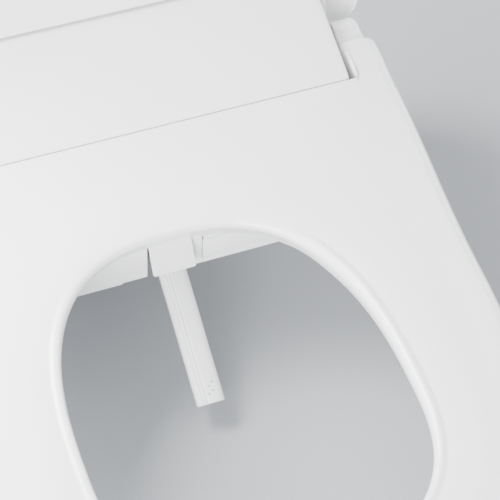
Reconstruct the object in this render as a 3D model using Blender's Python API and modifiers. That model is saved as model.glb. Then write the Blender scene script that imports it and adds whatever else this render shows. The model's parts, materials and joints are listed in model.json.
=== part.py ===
"""Electric bidet seat: a tilted seat ring and lid on one hinge line, over a low housing with a wash nozzle.

World frame in metres: +X right as seen from the front, +Y to the rear, +Z up. The origin is the centre of the
mounting plate's underside, which lies on the rim of the bowl. The deck frame has its origin on the hinge line
and falls towards the front by DECK_TILT; the seat, lid, deck cover and top cover are drawn in it. The nozzle
frame has its origin where the nozzle's axis meets the front face, and its -Y axis points out along the nozzle.
The object rests with its lid open, its seat down, its nozzle out and its nozzle door raised.
"""

import math

import bmesh
import bpy
from mathutils import Matrix, Vector

# ---------------------------------------------------------------- driving sizes, metres
CLEARANCE = 0.0003  # between pieces that touch
DECK_TILT = math.radians(5.0)
HINGE_Y, HINGE_Z = 0.045, 0.070
SEAM_Y = -0.050  # deck frame: where the seat meets the top cover
SEAT_TOP = 0.0134

SEAT_LENGTH = 0.430  # seam to front edge
SEAT_HALF_REAR, SEAT_HALF_FRONT = 0.1980, 0.1900
SHOULDER = 0.180  # seam to where the front curve starts
SEAT_POWER = 2.3
SEAT_WALL, SEAT_DEPTH, SEAT_EDGE_RADIUS = 0.003, 0.024, 0.008
SEAT_REAR_GAP = 0.0008
SKIRT_CLEARANCE = 0.014  # seat skirt above the rim of the bowl
OPENING_HALF, OPENING_POWER, OPENING_LIP, OPENING_TAPER = 0.111, 2.5, 0.007, 0.004
OPENING_CENTRE, OPENING_REAR, OPENING_FRONT = 0.250, 0.161, 0.105  # centre from the seam, then two half lengths
PLATE_THICK = 0.003
MAT_THICK, MAT_MARGIN = 0.0008, 0.006

COVER_HALF, ARM_GAP = 0.168, 0.0055
ARM_LENGTH, ARM_RADIUS = 0.035, 0.003
BARREL_RADIUS, BARREL_WEB, SHAFT_RADIUS, SHAFT_BORE = 0.012, 0.010, 0.004, 0.00408
EAR_GAP, EAR_THICK = 0.0012, 0.0033

LID_OPEN = math.radians(105.0)
LID_WALL, LID_MARGIN, LID_EDGE_RADIUS = 0.0025, 0.0055, 0.010
LID_TOP, LID_RIM, LID_LINER = 0.022, -0.0226, 0.007  # heights from the seat's top face
LID_REAR_GAP, LID_ARM_LENGTH = 0.002, 0.052
LINER_THICK, LINER_MARGIN = 0.0025, 0.0012
ARM_RIM_Y, ARM_RIM_HEIGHT, ARM_RIM_RADIUS = 0.033, 0.001, 0.018

STRIP_SLOPE, CREST_Y = 0.36, 0.030  # rise of the cover's front strip, and where it ends
CREST_RADIUS, COVER_REAR, COVER_WALL, COVER_ROUND = 0.012, 0.056, 0.0025, 0.005

DECK_TOP, DECK_THICK = -BARREL_RADIUS - 0.0019, 0.0025
CASE_HALF, CASE_FRONT, CASE_REAR, CASE_WALL = 0.184, -0.0765, 0.102, 0.003
CASE_FLOOR, CASE_CORNER = 0.0045, 0.012
FASCIA_FRONT, FASCIA_THICK, FASCIA_HALF, FASCIA_BOTTOM = -0.0805, 0.0037, 0.112, 0.0102

NOZZLE_X, NOZZLE_SLOPE, MOUTH_Z = 0.0056, math.radians(32.0), 0.0086
NOZZLE_HALF_X, NOZZLE_HALF_Z, NOZZLE_POWER = 0.0102, 0.0070, 2.5
NOZZLE_REACH, NOZZLE_INSIDE, TIP_LENGTH = 0.0970, 0.040, 0.024
NOZZLE_TRAVEL = 0.1075
NOZZLE_ROOM, ROOM_START, ROOM_END = 0.0020, 0.040, 0.153  # space kept clear behind the guide when it is in
RACK_DEPTH, RACK_TOOTH, RACK_HALF = 0.0035, 0.0018, 0.0025
GEAR_MODULE, GEAR_TEETH, PINION_PLACE, PINION_BORE, MOTOR_SHAFT = 0.001, 10, 0.034, 0.00156, 0.0015
GUIDE_GAP, GUIDE_WALL, GUIDE_START, GUIDE_END = 0.0005, 0.0022, 0.014, 0.050
DOOR_X, DOOR_HALF, DOOR_HEIGHT, DOOR_THICK, DOOR_OPEN = 0.0036, 0.0156, 0.0245, 0.0025, math.radians(30.0)
DOOR_HINGE_Z, FLAP_HINGE_Z = 0.0435, 0.0363
FLAP_LEFT, FLAP_RIGHT, FLAP_HEIGHT = 0.0285, 0.0985, 0.0211
HINGE_PIN, HINGE_BORE, HINGE_ROLL = 0.0010, 0.00106, 0.0018

PLATE_HALF_X, PLATE_HALF_Y, PLATE_HEIGHT = 0.115, 0.040, 0.004
BOLT_X, BOLT_RADIUS, BOLT_LENGTH, SLOT_HALF = 0.070, 0.0039, 0.062, 0.010
FAN_X, FAN_Y, FAN_RADIUS, FAN_BOTTOM, FAN_TOP = 0.110, 0.010, 0.042, 0.0090, 0.0370
DUCT_TOP, DUCT_WALL = 0.0315, 0.0015
BUTTON_RADIUS, BUTTON_Y, BUTTON_Z = 0.0065, (0.048, 0.068), 0.034
RELEASE_Y, RELEASE_Z = 0.084, 0.014
SCREW_X, SCREW_Y = 0.134, 0.090

WHITE = ("gloss_white", (0.86, 0.86, 0.86, 1), 0.22, 0.0)
TRIM = ("satin_white", (0.80, 0.80, 0.80, 1), 0.34, 0.0)
GREY = ("moulded_grey", (0.34, 0.35, 0.36, 1), 0.50, 0.0)
DARK = ("dark_rubber", (0.05, 0.05, 0.05, 1), 0.70, 0.0)
PALE = ("pale_rubber", (0.62, 0.62, 0.60, 1), 0.60, 0.0)
STEEL = ("stainless_steel", (0.62, 0.63, 0.64, 1), 0.28, 1.0)
BRASS = ("plated_brass", (0.70, 0.66, 0.52, 1), 0.30, 1.0)
BOARD = ("circuit_green", (0.03, 0.20, 0.08, 1), 0.45, 0.0)
FOIL = ("heater_foil", (0.55, 0.40, 0.22, 1), 0.40, 0.6)
CARBON = ("filter_carbon", (0.03, 0.03, 0.03, 1), 0.85, 0.0)


# ---------------------------------------------------------------- scene and objects
def clear_scene():
    for obj in list(bpy.data.objects):
        bpy.data.objects.remove(obj, do_unlink=True)


def new_collection(name, helper=False):
    made = bpy.data.collections.new(name)
    bpy.context.scene.collection.children.link(made)
    made.hide_render = helper
    return made


def frame_empty(name, place, tilt=0.0, parent=None):
    """An axis that pieces are parented to: placed, then turned about X."""
    empty = bpy.data.objects.new(name, None)
    HELPERS.objects.link(empty)
    empty.parent = parent
    empty.location = place
    empty.rotation_euler = (tilt, 0.0, 0.0)
    return empty


def material(finish):
    name, colour, roughness, metallic = finish
    made = bpy.data.materials.get(name)
    if made is None:
        made = bpy.data.materials.new(name)
        made.use_nodes = True
        shader = made.node_tree.nodes["Principled BSDF"]
        shader.inputs["Base Color"].default_value = colour
        shader.inputs["Roughness"].default_value = roughness
        shader.inputs["Metallic"].default_value = metallic
    return made


def mesh_from(bm, name):
    bmesh.ops.recalc_face_normals(bm, faces=bm.faces)
    mesh = bpy.data.meshes.new(name)
    bm.to_mesh(mesh)
    bm.free()
    obj = bpy.data.objects.new(name, mesh)
    HELPERS.objects.link(obj)
    return obj


def box(name, low, high):
    bm = bmesh.new()
    bmesh.ops.create_cube(bm, size=1.0)
    low, high = Vector(low), Vector(high)
    for vert in bm.verts:
        vert.co = Vector([low[i] + (vert.co[i] + 0.5) * (high[i] - low[i]) for i in range(3)])
    return mesh_from(bm, name)


def rod(name, radius, start, end, segments=24, end_radius=None):
    """A cylinder, or a cone where end_radius is given, from one point to another."""
    start, end = Vector(start), Vector(end)
    along = end - start
    turn = Vector((0, 0, 1)).rotation_difference(along).to_matrix().to_4x4()
    bm = bmesh.new()
    bmesh.ops.create_cone(
        bm,
        cap_ends=True,
        segments=segments,
        radius1=radius,
        radius2=radius if end_radius is None else end_radius,
        depth=along.length,
        matrix=Matrix.Translation((start + end) / 2) @ turn,
    )
    return mesh_from(bm, name)


def loft(name, rings):
    """A closed skin through rings of equal point counts, with a flat cap on each end ring."""
    bm = bmesh.new()
    rows = [[bm.verts.new(point) for point in ring] for ring in rings]
    for near, far in zip(rows, rows[1:]):
        for i in range(len(near)):
            j = (i + 1) % len(near)
            bm.faces.new((near[i], near[j], far[j], far[i]))
    bm.faces.new(rows[0])
    bm.faces.new(rows[-1])
    return mesh_from(bm, name)


def extruded(name, outline, low, high):
    """A flat outline of (x, y) points, thickened from low to high along Z."""
    curve = bpy.data.curves.new(name, "CURVE")
    curve.dimensions = "2D"
    curve.fill_mode = "BOTH"
    curve.extrude = (high - low) / 2
    spline = curve.splines.new("POLY")
    spline.points.add(len(outline) - 1)
    for point, (x, y) in zip(spline.points, outline):
        point.co = (x, y, 0.0, 1.0)
    spline.use_cyclic_u = True
    return curve_mesh(name, curve, Matrix.Translation((0, 0, (low + high) / 2)))


def extruded_across(name, profile, low, high):
    """A flat outline of (y, z) points, thickened from low to high along X."""
    made = extruded(name, profile, low, high)
    made.data.transform(Matrix(((0, 0, 1, 0), (1, 0, 0, 0), (0, 1, 0, 0), (0, 0, 0, 1))))
    return made


def tube(name, points, radius):
    curve = bpy.data.curves.new(name, "CURVE")
    curve.dimensions = "3D"
    curve.bevel_depth = radius
    curve.bevel_resolution = 2
    curve.use_fill_caps = True
    spline = curve.splines.new("POLY")
    spline.points.add(len(points) - 1)
    for point, place in zip(spline.points, points):
        point.co = (*place, 1.0)
    return curve_mesh(name, curve, Matrix.Identity(4))


def curve_mesh(name, curve, matrix):
    """The mesh of a curve with its caps welded on, so that it can be cut and joined."""
    holder = bpy.data.objects.new(name + "_curve", curve)
    HELPERS.objects.link(holder)
    bpy.context.view_layer.update()
    mesh = bpy.data.meshes.new_from_object(holder.evaluated_get(bpy.context.evaluated_depsgraph_get()))
    bpy.data.objects.remove(holder, do_unlink=True)
    bm = bmesh.new()
    bm.from_mesh(mesh)
    bmesh.ops.remove_doubles(bm, verts=bm.verts, dist=1e-6)
    bmesh.ops.dissolve_limit(bm, angle_limit=1e-3, verts=bm.verts, edges=bm.edges)
    bpy.data.meshes.remove(mesh)
    made = mesh_from(bm, name)
    made.data.transform(matrix)
    return made


def combine(obj, other, operation, parent=None):
    """A live Boolean. The other piece becomes a helper in the same frame."""
    other.parent = parent or other.parent
    other.hide_render = True
    other.display_type = "WIRE"
    modifier = obj.modifiers.new(operation.lower() + "_" + other.name, "BOOLEAN")
    modifier.operation = operation
    modifier.solver = "EXACT"
    modifier.object = other
    return obj


def cut(obj, *others):
    for other in others:
        combine(obj, other, "DIFFERENCE")
    return obj


def join(obj, *others):
    for other in others:
        combine(obj, other, "UNION")
    return obj


def bevel(obj, width, segments=2, angle=40.0):
    modifier = obj.modifiers.new("bevel", "BEVEL")
    modifier.width = width
    modifier.segments = segments
    modifier.limit_method = "ANGLE"
    modifier.angle_limit = math.radians(angle)
    modifier.use_clamp_overlap = True
    return obj


def finish(obj, name, look, parent=None):
    """Makes a working solid into a named piece: its material, its frame, its helpers' frame and smooth shading."""
    obj.name = name
    obj.data.name = name
    obj.data.materials.append(material(look))
    HELPERS.objects.unlink(obj)
    PARTS.objects.link(obj)
    set_frame(obj, parent)
    obj.data.shade_smooth()
    obj.data.set_sharp_from_angle(angle=math.radians(35.0))
    return obj


def set_frame(obj, parent):
    """Parents a piece, and each helper that cuts or joins it, to the frame it was drawn in."""
    if obj.parent is None and not obj.get("world"):
        obj.parent = parent
    for modifier in obj.modifiers:
        if modifier.type == "BOOLEAN":
            set_frame(modifier.object, parent)


def in_world(obj):
    """Marks a helper that was drawn in the world frame, whatever frame its piece is in."""
    obj["world"] = True
    return obj


# ---------------------------------------------------------------- outlines
def arc(centre_x, centre_y, radius, start, end, steps=5):
    angles = [math.radians(start + (end - start) * i / steps) for i in range(steps + 1)]
    return [(centre_x + radius * math.cos(a), centre_y + radius * math.sin(a)) for a in angles]


def mirrored(half):
    """A closed outline from the half at x >= 0, which starts at the rear and ends at the front on the centre."""
    return half + [(-x, y) for x, y in reversed(half[1:-1])]


def side_half(y, inset=0.0, margin=0.0):
    """Half width of the seat at a place along it: it flares softly towards the hinge."""
    share = min(max((y - (SEAM_Y - SHOULDER)) / SHOULDER, 0.0), 1.0)
    flare = (SEAT_HALF_REAR - SEAT_HALF_FRONT) * share * share * (3.0 - 2.0 * share)
    return SEAT_HALF_FRONT + flare + margin - inset


def plan(inset, margin, notch_x, notch_y, rear_y, corner, inner_corner=ARM_RADIUS):
    """Outline of the seat or lid: notched at the rear for the top cover, arms beside it, rounded at the front."""
    notch_x, notch_y, rear_y = notch_x + inset, notch_y - inset, rear_y - inset
    outer = side_half(rear_y, inset, margin)
    corner = min(max(corner - inset, 0.001), outer - notch_x - inner_corner - 0.0005)
    half = [(0.0, notch_y)]
    half += arc(notch_x - inner_corner, notch_y + inner_corner, inner_corner, -90, 0, 4)
    half += arc(notch_x + inner_corner, rear_y - inner_corner, inner_corner, 180, 90, 4)
    half += arc(outer - corner, rear_y - corner, corner, 90, 0, 6)
    start = SEAM_Y - SHOULDER
    steps = 10
    for i in range(1, steps):
        y = rear_y - corner + (start - rear_y + corner) * i / steps
        half.append((side_half(y, inset, margin), y))
    length = SEAT_LENGTH - SHOULDER + margin - inset
    half += superellipse(0.0, start, side_half(start, inset, margin), length, SEAT_POWER, 0, -90, 18)
    return mirrored(half)


def superellipse(centre_x, centre_y, half_x, half_y, power, start, end, steps):
    points = []
    for i in range(steps + 1):
        angle = math.radians(start + (end - start) * i / steps)
        c, s = math.cos(angle), math.sin(angle)
        x = centre_x + half_x * math.copysign(abs(c) ** (2 / power), c)
        y = centre_y + half_y * math.copysign(abs(s) ** (2 / power), s)
        points.append((x if abs(c) > 1e-9 else centre_x, y))
    return points


def opening(grow):
    """Outline of the seat's opening, grown outwards by a margin."""
    centre = SEAM_Y - OPENING_CENTRE
    rear = superellipse(0.0, centre, OPENING_HALF + grow, OPENING_REAR + grow, OPENING_POWER, 90, 0, 16)
    front = superellipse(0.0, centre, OPENING_HALF + grow, OPENING_FRONT + grow, OPENING_POWER, 0, -90, 14)
    return mirrored(rear + front[1:])


def at_height(outline, z):
    return [(x, y, z) for x, y in outline]


def rounded_stack(outline_at, low, high, radius, steps=4):
    """Rings for a solid with straight sides and a rounded upper edge; outline_at takes an inset."""
    rings = [at_height(outline_at(0.0), low)]
    for i in range(steps + 1):
        angle = math.radians(90.0 * i / steps)
        rings.append(at_height(outline_at(radius * (1 - math.cos(angle))), high - radius + radius * math.sin(angle)))
    return rings


def seat_plan(inset, rear_extra=0.0):
    return plan(inset, 0.0, COVER_HALF + ARM_GAP, SEAM_Y - SEAT_REAR_GAP, SEAM_Y + ARM_LENGTH + rear_extra, 0.007)


def lid_plan(inset):
    return plan(inset, LID_MARGIN, COVER_HALF + EAR_GAP, SEAM_Y - LID_REAR_GAP, SEAM_Y + LID_ARM_LENGTH, 0.020)


def opening_cutter(name, grow, lip, low, high):
    """The opening's core: it narrows upwards, then widens where the seat's inner lip rolls over."""
    rings = [at_height(opening(grow + OPENING_TAPER), low), at_height(opening(grow + OPENING_TAPER), high - SEAT_DEPTH)]
    for i in range(5):
        angle = math.radians(90.0 * i / 4)
        spread = lip * (1 - math.cos(angle))
        rings.append(at_height(opening(grow + spread), high - lip + lip * math.sin(angle)))
    rings.append(at_height(opening(grow + lip), high + 0.01))
    return loft(name, rings)


# ---------------------------------------------------------------- seat
def seat_upper(frame):
    body = loft("seat_body", rounded_stack(seat_plan, -0.090, SEAT_TOP, SEAT_EDGE_RADIUS))
    roof = SEAT_TOP - SEAT_WALL
    hollow = loft(
        "seat_hollow",
        rounded_stack(lambda inset: seat_plan(inset + SEAT_WALL), -0.095, roof, SEAT_EDGE_RADIUS - SEAT_WALL),
    )
    core = opening_cutter("seat_hollow_core", SEAT_WALL, OPENING_LIP, -0.100, SEAT_TOP)
    cut(hollow, core)
    underside = SEAT_TOP - SEAT_DEPTH
    belly_plan = plan(SEAT_WALL, 0.0, COVER_HALF - 0.010, SEAM_Y + ARM_LENGTH, SEAM_Y + ARM_LENGTH + 0.02, 0.002)
    belly = loft("seat_belly", [at_height(belly_plan, -0.095), at_height(belly_plan, underside)])
    wedge = in_world(box("seat_wedge", (-0.3, -0.6, -0.2), (0.3, 0.2, SKIRT_CLEARANCE)))
    reach = COVER_HALF + ARM_GAP - 0.0005
    relief_radius = math.hypot(SEAM_Y, SEAT_TOP) + CLEARANCE * 2
    relief = rod("seat_relief", relief_radius, (-reach, 0, 0), (reach, 0, 0), 96)
    cut(body, hollow, belly, wedge, opening_cutter("seat_opening", 0.0, OPENING_LIP, -0.1, SEAT_TOP), relief)
    cut(body, nozzle_bar("seat_nozzle_room", ROOM_START, ROOM_END, NOZZLE_ROOM))
    return finish(body, "seat_upper", WHITE, frame)


def seat_lower(frame):
    underside = SEAT_TOP - SEAT_DEPTH
    inset = SEAT_WALL + CLEARANCE
    plate = loft("seat_plate", [at_height(seat_plan(inset), underside), at_height(seat_plan(inset), underside + PLATE_THICK)])
    core = loft("seat_plate_core", [at_height(opening(inset + OPENING_TAPER), z) for z in (-0.05, 0.05)])
    cut(plate, core, nozzle_bar("plate_nozzle_room", ROOM_START, ROOM_END, NOZZLE_ROOM))
    return finish(plate, "seat_lower", TRIM, frame)


def seat_mat(frame):
    top = SEAT_TOP - SEAT_WALL - CLEARANCE
    inset = SEAT_WALL + MAT_MARGIN
    mat = loft("mat", [at_height(seat_plan(inset), z) for z in (top - MAT_THICK, top)])
    arms = box("mat_arms", (-0.3, SEAM_Y - 0.012, -0.1), (0.3, 0.1, 0.1))
    core = loft("mat_core", [at_height(opening(inset + OPENING_LIP), z) for z in (-0.05, 0.05)])
    cut(mat, arms, core)
    return finish(mat, "seat_heater_mat", FOIL, frame)


def seat_bumpers(frame):
    """Four feet under the seat, which stand on the rim of the bowl."""
    top = SEAT_TOP - SEAT_DEPTH - CLEARANCE
    for side, sign in (("right", 1), ("left", -1)):
        for end, from_seam, x in (("rear", 0.150, 0.150), ("front", 0.385, 0.096)):
            y = SEAM_Y - from_seam
            sole = -(HINGE_Z + y * math.sin(DECK_TILT)) / math.cos(DECK_TILT) + 0.0012
            foot = rod("foot", 0.0100, (sign * x, y, top), (sign * x, y, sole), 20, 0.0085)
            bevel(foot, 0.0010, 1)
            finish(foot, f"seat_bumper_{end}_{side}", PALE, frame)


def seat_barrels(frame):
    inner, outer = COVER_HALF + ARM_GAP + 0.0015, SEAT_HALF_REAR - 0.0025
    for side, sign in (("right", 1), ("left", -1)):
        barrel = rod("barrel", BARREL_RADIUS, (sign * inner, 0, 0), (sign * outer, 0, 0), 28)
        bevel(barrel, 0.0025, 2)
        front = SEAM_Y + ARM_LENGTH + CLEARANCE
        xs = sorted((sign * (inner + 0.0003), sign * (outer - 0.003)))
        web = box("barrel_web", (xs[0], front, -BARREL_WEB), (xs[1], 0.0, BARREL_WEB))
        join(barrel, web)
        bore = rod("barrel_bore", SHAFT_BORE, (sign * (inner - 0.01), 0, 0), (sign * (outer - 0.004), 0, 0), 20)
        cut(barrel, bore)
        finish(barrel, f"seat_hinge_barrel_{side}", WHITE, frame)


def hinge_shaft(name, sign, frame):
    start, end = COVER_HALF - 0.022, SEAT_HALF_REAR - 0.0070
    shaft = rod(name, SHAFT_RADIUS, (sign * start, 0, 0), (sign * end, 0, 0), 20)
    bevel(shaft, 0.0005, 1)
    return finish(shaft, name, STEEL, frame)


def hinge_damper(name, sign):
    inner, outer = COVER_HALF - 0.063, COVER_HALF - COVER_WALL - 0.001
    damper = rod(name, 0.009, (sign * inner, 0, 0), (sign * outer, 0, 0), 28)
    bevel(damper, 0.001, 1)
    bore = rod(name + "_bore", SHAFT_BORE, (sign * (COVER_HALF - 0.023), 0, 0), (sign * (outer + 0.01), 0, 0), 20)
    cut(damper, bore)
    return finish(damper, name, GREY, DECK)


# ---------------------------------------------------------------- lid
def lid_shell(frame):
    top, rim = SEAT_TOP + LID_TOP, SEAT_TOP + LID_RIM
    body = loft("lid_body", rounded_stack(lid_plan, rim, top, LID_EDGE_RADIUS))
    inner_plan = lid_inner_plan(0.0)
    inner_radius = LID_EDGE_RADIUS - LID_WALL
    hollow_rings = [at_height(inner_plan, rim - 0.01)]
    for i in range(5):
        angle = math.radians(90.0 * i / 4)
        height = top - LID_WALL - inner_radius + inner_radius * math.sin(angle)
        hollow_rings.append(at_height(lid_inner_plan(inner_radius * (1 - math.cos(angle))), height))
    hollow = loft("lid_hollow", hollow_rings)
    ear_inner = COVER_HALF + EAR_GAP
    rear = SEAM_Y - LID_REAR_GAP
    reach = ear_inner + EAR_THICK + 0.001
    mouth = box("lid_mouth", (-reach, rear - LID_WALL - 0.001, rim - 0.01), (reach, SEAM_Y + 0.001, SEAT_TOP + LID_LINER))
    cut(body, hollow, mouth)
    for sign in (1, -1):
        cut(body, arm_rim_cutter(sign))
        hub = rod("lid_hub", BARREL_RADIUS, (sign * ear_inner, 0, 0), (sign * (ear_inner + EAR_THICK), 0, 0), 28)
        join(body, hub)
        bore = rod("lid_bore", SHAFT_BORE, (sign * (ear_inner - 0.01), 0, 0), (sign * (ear_inner + 0.01), 0, 0), 20)
        cut(body, bore)
    return finish(body, "lid_shell", WHITE, frame)


def lid_inner_plan(inset):
    """The lid's hollow: it leaves the outer wall, and an ear plate on the inner side of each arm."""
    extra = EAR_THICK - LID_WALL
    return plan(
        LID_WALL + inset,
        LID_MARGIN,
        COVER_HALF + EAR_GAP + extra,
        SEAM_Y - LID_REAR_GAP,
        SEAM_Y + LID_ARM_LENGTH,
        0.020,
    )


def arm_rim_cutter(sign):
    """Lifts the lid's rim in a quarter round at the end of an arm, where it clears the hinge barrel."""
    front, top = SEAM_Y + ARM_RIM_Y, SEAT_TOP + ARM_RIM_HEIGHT
    radius = ARM_RIM_RADIUS
    profile = [(front + 0.06, -0.05), (front + 0.06, top)] + arc(front + radius, top - radius, radius, 90, 180, 6)
    profile.append((front, -0.05))
    inner = COVER_HALF + EAR_GAP + EAR_THICK + CLEARANCE
    xs = sorted((sign * inner, sign * 0.25))
    return extruded_across("arm_rim", profile, xs[0], xs[1])


def lid_liner(frame):
    low = SEAT_TOP + LID_LINER
    inset = LINER_MARGIN

    def outline(z):
        return at_height(lid_inner_plan(inset), z)

    liner = loft("liner", [outline(low), outline(low + LINER_THICK)])
    arms = box("liner_arms", (-0.3, SEAM_Y - LID_REAR_GAP - LID_WALL - CLEARANCE, -0.1), (0.3, 0.1, 0.1))
    cut(liner, arms)
    return finish(liner, "lid_liner", TRIM, frame)


def lid_bumpers(frame):
    """Four pads on the liner, which meet the seat's top face when the lid is shut."""
    base = SEAT_TOP + LID_LINER - CLEARANCE
    for side, sign in (("right", 1), ("left", -1)):
        for end, from_seam, x in (("rear", 0.110, 0.155), ("front", 0.385, 0.095)):
            y = SEAM_Y - from_seam
            pad = rod("pad", 0.0075, (sign * x, y, base), (sign * x, y, SEAT_TOP + 0.0008), 20, 0.0060)
            bevel(pad, 0.0008, 1)
            finish(pad, f"lid_bumper_{end}_{side}", PALE, frame)


# ---------------------------------------------------------------- housing
def cover_profile(inset):
    """The top cover's side outline in the deck frame: front wall, rising strip, rounded crest, rear wall."""
    bottom = DECK_TOP + CLEARANCE
    front, rear = SEAM_Y + inset, COVER_REAR - inset
    lift = inset / math.cos(math.atan(STRIP_SLOPE))
    rise = SEAT_TOP - lift + STRIP_SLOPE * inset
    crest_z = SEAT_TOP + STRIP_SLOPE * (CREST_Y - SEAM_Y) - lift
    points = [(front, bottom), (front, rise - 0.001), (front + 0.0008, rise)]
    points.append((CREST_Y, crest_z))
    points += arc(CREST_Y + 0.0035, crest_z - CREST_RADIUS + 0.001, CREST_RADIUS - inset * 0.5, 95, 30, 5)
    points += arc(rear - 0.010, 0.016, 0.010, 30, 0, 3)
    points.append((rear, bottom))
    return points


def top_cover():
    rings = []
    ends = [(0.0, COVER_ROUND * (1 - math.cos(math.radians(a))), a) for a in (90, 60, 30, 0)]
    for _, inset, angle in ends:
        x = -COVER_HALF + COVER_ROUND * (1 - math.sin(math.radians(angle)))
        rings.append((x, COVER_ROUND - inset))
    halves = [(-COVER_HALF + COVER_ROUND * (1 - math.cos(math.radians(a))), COVER_ROUND * (1 - math.sin(math.radians(a))))
              for a in (0, 30, 60, 90)]
    sections = halves + [(-x, inset) for x, inset in reversed(halves)]
    body = loft("cover_body", [[(x, y, z) for y, z in shrunk_profile(inset)] for x, inset in sections])
    hollow = extruded_across("cover_hollow", lowered(cover_profile(COVER_WALL)), -COVER_HALF + COVER_WALL, COVER_HALF - COVER_WALL)
    cut(body, hollow, nozzle_bar("cover_nozzle_room", ROOM_START, ROOM_END, NOZZLE_ROOM))
    for sign in (1, -1):
        bore = rod("cover_bore", SHAFT_BORE + 0.0004, (sign * (COVER_HALF - 0.013), 0, 0), (sign * (COVER_HALF + 0.012), 0, 0), 20)
        cut(body, bore)
    return finish(body, "top_cover", WHITE, DECK)


def shrunk_profile(inset):
    """The cover's outline near an end: drawn in from the top and rear, its bottom line kept."""
    return [(y, z if i in (0, 9 + 5) else z) for i, (y, z) in enumerate(cover_profile(inset * 0.6))]


def lowered(profile):
    """The hollow's outline, carried down past the cover's bottom edge so that it opens it."""
    low = profile[0][1] - 0.02
    return [(y, low if i in (0, len(profile) - 1) else z) for i, (y, z) in enumerate(profile)]


def deck_cover():
    front = (CASE_FRONT - HINGE_Y) / math.cos(DECK_TILT)
    corner = CASE_CORNER
    outline = []
    for x, y, start in ((1, 1, 0), (-1, 1, 90), (-1, -1, 180), (1, -1, 270)):
        edge_y = COVER_REAR if y > 0 else front
        outline += arc(x * (CASE_HALF - corner), edge_y - y * corner, corner, start, start + 90, 5)
    deck = extruded("deck", outline, DECK_TOP - DECK_THICK, DECK_TOP)
    well = box("deck_well", (-0.160, SEAM_Y + 0.004, -0.05), (0.160, COVER_REAR - 0.004, 0.05))
    cut(deck, well, nozzle_bar("deck_nozzle_room", ROOM_START, ROOM_END, NOZZLE_ROOM))
    return finish(deck, "deck_cover", TRIM, DECK)


def deck_underside(y):
    """World height just under the deck cover at a world Y."""
    drop = DECK_TOP - DECK_THICK - CLEARANCE
    return HINGE_Z + drop / math.cos(DECK_TILT) + (y - HINGE_Y) * math.tan(DECK_TILT)


def case_outline(inset):
    corner = CASE_CORNER - inset
    points = []
    for x, y, start in ((1, 1, 0), (-1, 1, 90), (-1, -1, 180), (1, -1, 270)):
        edge = CASE_REAR - inset if y > 0 else CASE_FRONT + inset
        points += arc(x * (CASE_HALF - inset - corner), edge - y * corner, corner, start, start + 90, 5)
    return points


def sloped_top(outline, lift=0.0):
    return [(x, y, deck_underside(y) + lift) for x, y in outline]


def base_casing():
    body = loft("case_body", [at_height(case_outline(0.0), CASE_FLOOR), sloped_top(case_outline(0.0))])
    floor = CASE_FLOOR + CASE_WALL
    hollow = loft("case_hollow", [at_height(case_outline(CASE_WALL), floor), sloped_top(case_outline(CASE_WALL), 0.02)])
    window = box("case_window", (-0.030, CASE_FRONT - 0.01, -0.01), (0.104, CASE_FRONT + CASE_WALL + 0.0005, 0.042))
    notch = box(
        "case_notch", (NOZZLE_X - 0.0165, CASE_FRONT - 0.01, -0.01), (NOZZLE_X + 0.0165, -0.050, floor + 0.001)
    )
    cut(body, hollow, window, notch)
    wall = CASE_HALF - CASE_WALL - 0.001
    drawer = box("case_drawer_slot", (-CASE_HALF - 0.01, DRAWER[0] - 0.0005, DRAWER[2] - 0.0005),
                 (-wall, DRAWER[1] + 0.0005, DRAWER[3] + 0.0005))
    cut(body, drawer)
    for y in BUTTON_Y:
        cut(body, rod("button_hole", BUTTON_RADIUS + 0.0004, (wall, y, BUTTON_Z), (CASE_HALF + 0.01, y, BUTTON_Z), 24))
    cut(body, box("release_hole", (wall, RELEASE_Y - 0.0084, RELEASE_Z - 0.0054), (0.2, RELEASE_Y + 0.0084, RELEASE_Z + 0.0054)))
    for x, radius in ((INLET_X, 0.0108), (GLAND_X, 0.0076)):
        cut(body, rod("rear_hole", radius, (x, 0.090, PORT_Z), (x, 0.110, PORT_Z), 28))
    for sign in (1, -1):
        cut(body, rod("bolt_access", 0.0140, (sign * BOLT_X, 0, 0), (sign * BOLT_X, 0, 0.012), 24))
        cut(body, rod("screw_hole", 0.0023, (sign * SCREW_X, SCREW_Y, 0), (sign * SCREW_X, SCREW_Y, 0.012), 16))
    return finish(body, "base_casing", WHITE)


def nozzle_fascia():
    top = deck_underside(FASCIA_FRONT) + 2 * DECK_THICK + CLEARANCE
    plate = box("fascia", (-FASCIA_HALF, FASCIA_FRONT, FASCIA_BOTTOM), (FASCIA_HALF, FASCIA_FRONT + FASCIA_THICK, top))
    gap = 0.0006
    mouth = box(
        "fascia_mouth",
        (DOOR_X - DOOR_HALF - gap, FASCIA_FRONT - 0.01, -0.01),
        (DOOR_X + DOOR_HALF + gap, FASCIA_FRONT + 0.01, DOOR_HINGE_Z + 0.0022),
    )
    vent = box(
        "fascia_vent",
        (FLAP_LEFT - gap, FASCIA_FRONT - 0.01, FLAP_HINGE_Z - FLAP_HEIGHT - gap),
        (FLAP_RIGHT + gap, FASCIA_FRONT + 0.01, FLAP_HINGE_Z + 0.0022),
    )
    cut(plate, mouth, vent)
    bevel(plate, 0.0006, 1)
    return finish(plate, "nozzle_fascia", WHITE)


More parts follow.
